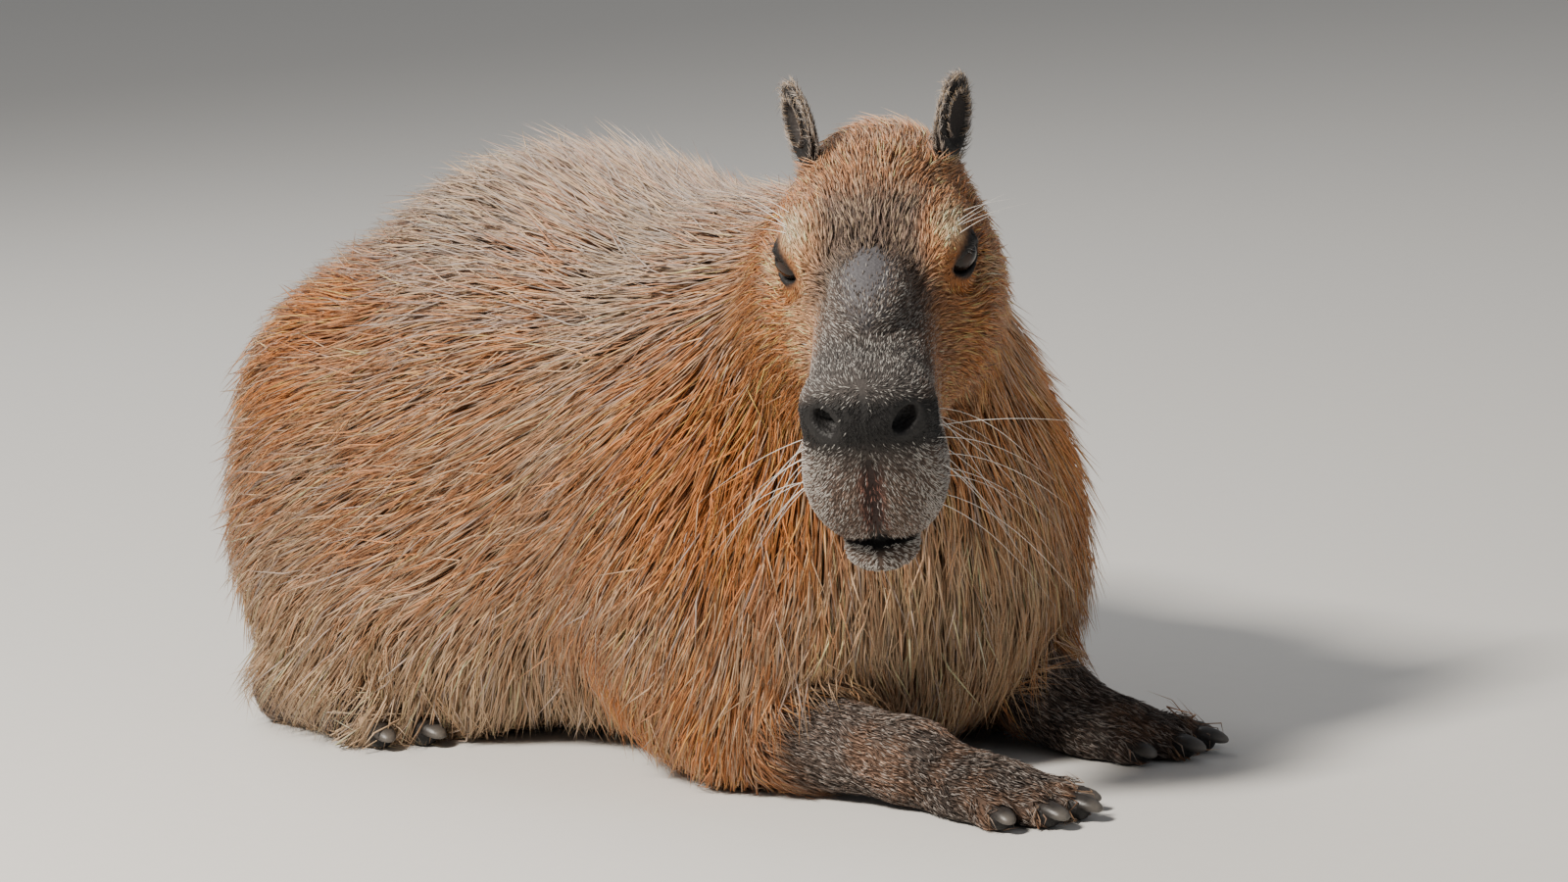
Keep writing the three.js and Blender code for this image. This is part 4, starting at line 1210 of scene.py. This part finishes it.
class CAPYBARA_OT_coat(bpy.types.Operator):
    """Covers the skin with thin overlapping tufts that follow the lie of the coat"""

    bl_idname = "capybara.coat"
    bl_label = "Coat"

    def execute(self, context):
        coat, colours, _ = operator_settings(context)
        rng = np.random.default_rng(coat.seed)
        skin = bpy.data.objects["skin"]
        count = coat.tufts // 1
        roots = sample_roots(skin.data, count, rng)
        roots = roots[np.argsort(roots[:, 1])]
        normals = unit(slope(skin_field, roots))
        points, width = tuft_paths(roots, normals, coat, rng)
        rows = tuft_mesh(points, normals, width)
        root_colour, tip_colour = tuft_colours(roots, colours, rng)
        unwrapped = unwrap_place(roots)
        faces = tuft_faces()
        made = coat_material()
        per_tuft = rows.shape[1]
        along = np.array([t for t in TUFT_RINGS for _ in range(TUFT_SIDES)] + [1.0])
        # Painted shade: each tuft blends from its dark root colour to its tip colour along its length.
        shade = along ** 0.7
        for piece, start in enumerate(range(0, len(roots), PIECE_TUFTS)):
            part = slice(start, start + PIECE_TUFTS)
            count = len(rows[part])
            index = (np.arange(count) * per_tuft)[:, None, None] + faces[None]
            obj = new_mesh(f"coat_{piece + 1}", rows[part].reshape(-1, 3), index.reshape(-1, 3))
            share = shade[None, :, None]
            hair = root_colour[part][:, None] * (1 - share) + tip_colour[part][:, None] * share
            put_colour(obj.data, "hair", hair.reshape(-1, 3))
            self.put_unwrap(obj.data, unwrapped[part], along, per_tuft)
            finish_piece(obj, "coat", made)
        return {"FINISHED"}

    def put_unwrap(self, mesh, places, along, per_tuft):
        """Gives each tuft a small patch at its root's place on the skin's unwrap."""
        across = np.array([(-0.5, 0.5, 0.0)[i % TUFT_SIDES] for i in range(per_tuft)])
        local = np.stack([along - 0.5, across * (1 - along)], -1) * TUFT_PATCH
        uv = (places[:, None] + local[None]).reshape(-1, 2)
        corner = np.empty(len(mesh.loops), np.int32)
        mesh.loops.foreach_get("vertex_index", corner)
        layer = mesh.uv_layers.new(name="OFBake")
        layer.data.foreach_set("uv", uv[corner].astype(np.float32).ravel())


def tube_faces(rings, turns):
    """Triangles over rings of points, closed by the two end points that follow them."""
    first = rings * turns
    last = first + 1
    faces = []
    for j in range(turns):
        k = (j + 1) % turns
        faces.append((first, k, j))
        faces.append((last, first - turns + j, first - turns + k))
        for i in range(rings - 1):
            a = i * turns + j
            b = i * turns + k
            faces.append((a, b, b + turns))
            faces.append((a, b + turns, a + turns))
    return np.array(faces)


def sphere_points(centre, radius, rings, turns):
    """Vertices and triangles of a ball, each pole closed by a point of its own."""
    lat = np.linspace(0, math.pi, rings + 2)[1:-1]
    lon = np.arange(turns) * 2 * math.pi / turns
    a, b = np.meshgrid(lat, lon, indexing="ij")
    unit_points = np.stack([np.sin(a) * np.cos(b), np.sin(a) * np.sin(b), np.cos(a)], -1)
    poles = np.array(((0, 0, 1), (0, 0, -1)))
    points = np.concatenate([unit_points.reshape(-1, 3), poles]) * radius + centre
    return points, tube_faces(rings, turns)[:, ::-1]


GAZE = (0.30, 1.0, 0.05)
CORNEA_RISE = 0.05
CORNEA_ANGLE = 42
IRIS_ANGLES = (44, 48)
PUPIL_ANGLES = (17, 20)
EYE_RIM_COLOUR = (0.018, 0.011, 0.008)
IRIS_COLOUR = (0.030, 0.013, 0.007)
PUPIL_COLOUR = (0.003, 0.002, 0.002)


class CAPYBARA_OT_eyes(bpy.types.Operator):
    """Builds the two wet dark eyeballs with iris and pupil"""

    bl_idname = "capybara.eyes"
    bl_label = "Eyes"

    def execute(self, context):
        made = eye_material()
        for side, sign in SIDES:
            centre = mirrored(EYE_AT, sign)
            points, faces = sphere_points(centre, EYE_RADIUS, 40, 64)
            gaze = unit(mirrored(GAZE, sign))
            angle = np.degrees(np.arccos(np.clip(unit(points - centre) @ gaze, -1, 1)))
            bulge = 1.0 + CORNEA_RISE * (1.0 - ramp(angle, 0, CORNEA_ANGLE))
            points = centre + (points - centre) * bulge[:, None]
            rgb = np.tile(np.array(EYE_RIM_COLOUR), (len(points), 1))
            rgb = mix(rgb, IRIS_COLOUR, 1.0 - ramp(angle, *IRIS_ANGLES))
            rgb = mix(rgb, PUPIL_COLOUR, 1.0 - ramp(angle, *PUPIL_ANGLES))
            obj = new_mesh(f"eyeball_{side}", from_head(points), faces)
            put_colour(obj.data, "eye", rgb)
            finish_piece(obj, "eye", made, f"eye_{side}")
        return {"FINISHED"}


CLAW_STATIONS = ((-0.02, 0.10), (0.02, 0.72), (0.14, 0.96), (0.34, 1.0), (0.58, 0.93),
                 (0.78, 0.78), (0.92, 0.52), (0.98, 0.28), (1.0, 0.05))
CLAW_SIDES = 16
CLAW_SHARE = 0.74
HORN_COLOUR = (0.030, 0.026, 0.024)
HORN_TIP_COLOUR = (0.13, 0.115, 0.10)


def claw_points(at, forward, length, radius):
    """A blunt claw: flattened rounded sections along a gentle downward curve."""
    left = unit(np.cross((0, 0, 1), forward))
    up = np.cross(forward, left)
    rows = []
    angle = np.arange(CLAW_SIDES) * 2 * math.pi / CLAW_SIDES
    for t, share in CLAW_STATIONS:
        middle = at + forward * t * length - up * 0.10 * length * t * t
        flat = np.where(np.sin(angle) > 0, 0.72, 0.50)
        ring = (
            middle
            + np.cos(angle)[:, None] * left * radius * share
            + (np.sin(angle) * flat)[:, None] * up * radius * share
        )
        rows.append(ring)
    ends = [rows[0].mean(0), rows[-1].mean(0)]
    return np.concatenate(rows + [ends]), tube_faces(len(rows), CLAW_SIDES)


class CAPYBARA_OT_claws(bpy.types.Operator):
    """Builds the blunt hoof-like claws of all four feet"""

    bl_idname = "capybara.claws"
    bl_label = "Claws"

    def execute(self, context):
        made = claw_material()
        up = np.array((0.0, 0.0, 1.0))
        for limb, side, centre, heading, toes in paws():
            for i, toe in enumerate(toe_places(centre, heading, toes)):
                at, forward, length, radius, claw = toe
                start = at + forward * (length - radius * 1.5) + up * radius * 0.3
                points, faces = claw_points(start, forward, claw, radius * CLAW_SHARE)
                points[:, 2] = np.maximum(points[:, 2], CLAW_LOWEST)
                name = f"{limb}_{side}_claw_{i + 1}"
                obj = new_mesh("horn_" + name, points, faces)
                share = np.clip((points - start) @ forward / claw, 0, 1)
                rgb = np.tile(np.array(HORN_COLOUR), (len(points), 1))
                rgb = mix(rgb, HORN_TIP_COLOUR, ramp(share, 0.55, 1.0))
                put_colour(obj.data, "horn", rgb)
                finish_piece(obj, "claw", made, name)
        return {"FINISHED"}


def taper_tree(name, radius, made):
    """Geometry Nodes: edges become curves, and curves thin round hairs with sharp tips."""
    tree = bpy.data.node_groups.new(name, "GeometryNodeTree")
    face = tree.interface
    face.new_socket("Geometry", in_out="INPUT", socket_type="NodeSocketGeometry")
    face.new_socket("Radius", in_out="INPUT", socket_type="NodeSocketFloat").default_value = radius
    face.new_socket("Geometry", in_out="OUTPUT", socket_type="NodeSocketGeometry")
    nodes = tree.nodes
    start = nodes.new("NodeGroupInput")
    end = nodes.new("NodeGroupOutput")
    curves = nodes.new("GeometryNodeMeshToCurve")
    sized = nodes.new("GeometryNodeSetCurveRadius")
    factor = nodes.new("GeometryNodeSplineParameter")
    thin = nodes.new("ShaderNodeMapRange")
    thin.inputs["To Min"].default_value = 1.0
    thin.inputs["To Max"].default_value = 0.12
    times = nodes.new("ShaderNodeMath")
    times.operation = "MULTIPLY"
    profile = nodes.new("GeometryNodeCurvePrimitiveCircle")
    profile.inputs["Resolution"].default_value = 6
    profile.inputs["Radius"].default_value = 1.0
    skin = nodes.new("GeometryNodeCurveToMesh")
    skin.inputs["Fill Caps"].default_value = True
    real = nodes.new("GeometryNodeRealizeInstances")
    painted = nodes.new("GeometryNodeSetMaterial")
    painted.inputs["Material"].default_value = made
    link = tree.links.new
    link(start.outputs["Geometry"], curves.inputs["Mesh"])
    link(factor.outputs["Factor"], thin.inputs["Value"])
    link(thin.outputs["Result"], times.inputs[0])
    link(start.outputs["Radius"], times.inputs[1])
    link(curves.outputs["Curve"], sized.inputs["Curve"])
    link(times.outputs[0], sized.inputs["Radius"])
    link(sized.outputs["Curve"], skin.inputs["Curve"])
    link(profile.outputs["Curve"], skin.inputs["Profile Curve"])
    if "Scale" in skin.inputs:
        link(times.outputs[0], skin.inputs["Scale"])
    link(skin.outputs["Mesh"], real.inputs["Geometry"])
    link(real.outputs["Geometry"], painted.inputs["Geometry"])
    link(painted.outputs["Geometry"], end.inputs["Geometry"])
    return tree


WHISKER_ROOM = 0.012
HAIR_STEPS = 10
HAIR_SAG = 0.30
LASHES = 16
BROW_HAIRS = 5
CHIN_HAIRS = 12


def lash_paths(rng):
    """Paths of the short dark lashes along each upper lid."""
    paths = []
    for sign in (1.0, -1.0):
        for i in range(LASHES):
            a = math.radians(-52 + 104 * i / (LASHES - 1))
            across, up = 0.0035 + 0.0155 * math.sin(a), 0.0095 * math.cos(a) + 0.002
            root = np.array((across, 0.066 * sign, up))
            way = unit(np.array((0.5 * math.sin(a), sign, 0.10 + rng.uniform(-0.15, 0.15))))
            paths.append((root, way, rng.uniform(0.009, 0.013), 1.0))
    return paths


def whisker_paths(coat, rng):
    """Paths of the whiskers on muzzle, chin and brow, in the head's frame."""
    paths = []
    for sign in (1.0, -1.0):
        for _ in range(coat.whiskers):
            root = np.array((rng.uniform(0.105, 0.155), 0.0, rng.uniform(-0.105, -0.050)))
            root[1] = sign * rng.uniform(0.030, 0.045)
            way = np.array((rng.uniform(-0.5, 0.2), sign * rng.uniform(0.6, 1.0), rng.uniform(-1.1, -0.1)))
            way = unit(way)
            paths.append((root, way, rng.uniform(0.035, 0.100), rng.uniform(0.6, 2.2)))
        if sign > 0:
            long_root = np.array((0.135, sign * 0.040, -0.050))
            paths.append((long_root, unit(np.array((-0.25, sign, -0.02))), 0.140, 0.5))
        for _ in range(BROW_HAIRS):
            root = np.array((rng.uniform(-0.02, 0.01), sign * 0.060, rng.uniform(0.016, 0.030)))
            way = unit(np.array((-0.8, sign * 0.9, rng.uniform(-0.2, 0.35))))
            paths.append((root, way, rng.uniform(0.030, 0.065), 0.4))
    for _ in range(CHIN_HAIRS):
        root = np.array((rng.uniform(0.09, 0.14), rng.uniform(-0.022, 0.022), -0.140))
        way = unit(np.array((rng.uniform(0.0, 0.4), rng.uniform(-0.4, 0.4), -1.0)))
        paths.append((root, way, rng.uniform(0.015, 0.035), 0.5))
    return paths


class CAPYBARA_OT_whiskers(bpy.types.Operator):
    """Builds the long pale whiskers of muzzle, chin and brow"""

    bl_idname = "capybara.whiskers"
    bl_label = "Whiskers"

    def execute(self, context):
        coat, colours, _ = operator_settings(context)
        rng = np.random.default_rng(coat.seed + 1)
        white = hair_material("whisker", colours.whisker)
        black = hair_material("lash", colours.nose)
        self.make_hairs(context, "whiskers", whisker_paths(coat, rng), coat.whisker_radius, white)
        self.make_hairs(context, "lashes", lash_paths(rng), coat.whisker_radius, black)
        return {"FINISHED"}

    def fitted_length(self, start, outward, length):
        """Shortens a hair that would reach well past the box of the solids."""
        low = np.array(SOLID_BOX[0]) - WHISKER_ROOM
        high = np.array(SOLID_BOX[1]) + WHISKER_ROOM
        for _ in range(20):
            end = start + outward * length
            if (end > low).all() and (end < high).all():
                break
            length *= 0.9
        return length

    def make_hairs(self, context, name, paths, radius, made):
        """Turns the paths into thin tapered hairs and keeps them as one mesh."""
        points = []
        edges = []
        for root, way, length, sag in paths:
            start = settle(smooth_field, from_head(root)[None], reach=0.02)[0]
            outward = unit(HEAD_AXES @ way)
            length = self.fitted_length(start, outward, length)
            base = len(points)
            for i in range(HAIR_STEPS):
                t = i / (HAIR_STEPS - 1)
                drop = np.array((0, 0, -sag * HAIR_SAG * length * t * t))
                points.append(start + outward * length * (t - 0.02) + drop)
                if i:
                    edges.append((base + i - 1, base + i))
        mesh = bpy.data.meshes.new(name + "_lines")
        mesh.from_pydata([tuple(p) for p in points], edges, [])
        lines = bpy.data.objects.new(name + "_lines", mesh)
        context.scene.collection.objects.link(lines)
        tree = taper_tree(name, radius, made)
        modifier = lines.modifiers.new("hairs", "NODES")
        modifier.node_group = tree
        for item in tree.interface.items_tree:
            if item.name == "Radius":
                modifier[item.identifier] = radius
        shaped = lines.evaluated_get(context.evaluated_depsgraph_get())
        result = bpy.data.meshes.new_from_object(shaped)
        lines.modifiers.clear()
        bpy.data.objects.remove(lines)
        if not len(result.polygons):
            raise RuntimeError(f"the {name} came out empty")
        obj = bpy.data.objects.new(name, result)
        context.scene.collection.objects.link(obj)
        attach(obj, "root")


FLOOR_HALF = 8
FLOOR_COLOUR = (0.62, 0.61, 0.59, 1)
WORLD_COLOUR = (0.80, 0.82, 0.85, 1)
WORLD_STRENGTH = 0.30
LIGHT_AIM = (0, 0, 0.2)
# Name, place, size, power and colour of each light.
LIGHTS = (
    ("key", (-2.9, -0.2, 3.0), 0.7, 350, (1.0, 0.93, 0.83)),
    ("fill", (0.2, -4.2, 1.8), 2.6, 12, (0.92, 0.96, 1.0)),
    ("rim", (0.6, 2.8, 2.6), 1.8, 55, (1.0, 0.98, 0.95)),
)


class CAPYBARA_OT_stage(bpy.types.Operator):
    """Sets the pale floor, the soft lights and the camera"""

    bl_idname = "capybara.stage"
    bl_label = "Stage"

    def execute(self, context):
        _, _, stage = operator_settings(context)
        corners = [(x * FLOOR_HALF, y * FLOOR_HALF, 0) for x, y in ((-1, -1), (1, -1), (1, 1), (-1, 1))]
        floor = new_mesh("floor", corners, [(0, 1, 2, 3)])
        floor.data.materials.append(floor_material())
        for light in LIGHTS:
            self.add_light(*light)
        world = bpy.data.worlds.new("studio")
        world.use_nodes = True
        background = world.node_tree.nodes["Background"]
        background.inputs["Color"].default_value = WORLD_COLOUR
        background.inputs["Strength"].default_value = WORLD_STRENGTH
        context.scene.world = world
        self.add_camera(context.scene, stage)
        return {"FINISHED"}

    def add_light(self, name, place, size, power, colour):
        data = bpy.data.lights.new(name, "AREA")
        data.size = size
        data.energy = power
        data.color = colour
        light = bpy.data.objects.new(name, data)
        light.location = place
        aim = Vector(LIGHT_AIM) - Vector(place)
        light.rotation_euler = aim.to_track_quat("-Z", "Y").to_euler()
        bpy.context.scene.collection.objects.link(light)

    def add_camera(self, scene, stage):
        a, e, r = stage.azimuth, stage.elevation, stage.roll
        back = Vector((math.sin(a) * math.cos(e), -math.cos(a) * math.cos(e), math.sin(e)))
        right = Vector((math.cos(a), math.sin(a), 0))
        up = back.cross(right)
        across = right * math.cos(r) - up * math.sin(r)
        upward = right * math.sin(r) + up * math.cos(r)
        data = bpy.data.cameras.new("camera")
        data.lens = stage.lens
        data.sensor_width = 36
        camera = bpy.data.objects.new("camera", data)
        axes = Matrix((across, upward, back)).transposed().to_4x4()
        place = Vector(stage.target) + back * stage.distance
        camera.matrix_world = Matrix.Translation(place) @ axes
        scene.collection.objects.link(camera)
        scene.camera = camera


class CAPYBARA_PT_panel(bpy.types.Panel):
    bl_label = "Capybara"
    bl_idname = "CAPYBARA_PT_panel"
    bl_space_type = "VIEW_3D"
    bl_region_type = "UI"
    bl_category = "Capybara"

    def draw(self, context):
        layout = self.layout
        for operator in OPERATORS:
            layout.operator(operator.bl_idname)
        coat, _, _ = operator_settings(context)
        layout.prop(coat, "tufts")
        layout.prop(coat, "length_scale")


SETTINGS = (CoatSettings, ColourSettings, StageSettings)
OPERATORS = (
    CAPYBARA_OT_stage,
    CAPYBARA_OT_skin,
    CAPYBARA_OT_eyes,
    CAPYBARA_OT_claws,
    CAPYBARA_OT_coat,
    CAPYBARA_OT_whiskers,
)


def register():
    for cls in SETTINGS + OPERATORS + (CAPYBARA_PT_panel,):
        bpy.utils.register_class(cls)
    bpy.types.Scene.capybara_coat = bpy.props.PointerProperty(type=CoatSettings)
    bpy.types.Scene.capybara_colours = bpy.props.PointerProperty(type=ColourSettings)
    bpy.types.Scene.capybara_stage = bpy.props.PointerProperty(type=StageSettings)


def unregister():
    del bpy.types.Scene.capybara_stage
    del bpy.types.Scene.capybara_colours
    del bpy.types.Scene.capybara_coat
    for cls in reversed(SETTINGS + OPERATORS + (CAPYBARA_PT_panel,)):
        bpy.utils.unregister_class(cls)


def main():
    register()
    bpy.ops.capybara.stage()
    bpy.ops.capybara.skin()
    bpy.ops.capybara.eyes()
    bpy.ops.capybara.claws()
    bpy.ops.capybara.coat()
    bpy.ops.capybara.whiskers()


if __name__ == "__main__":
    main()
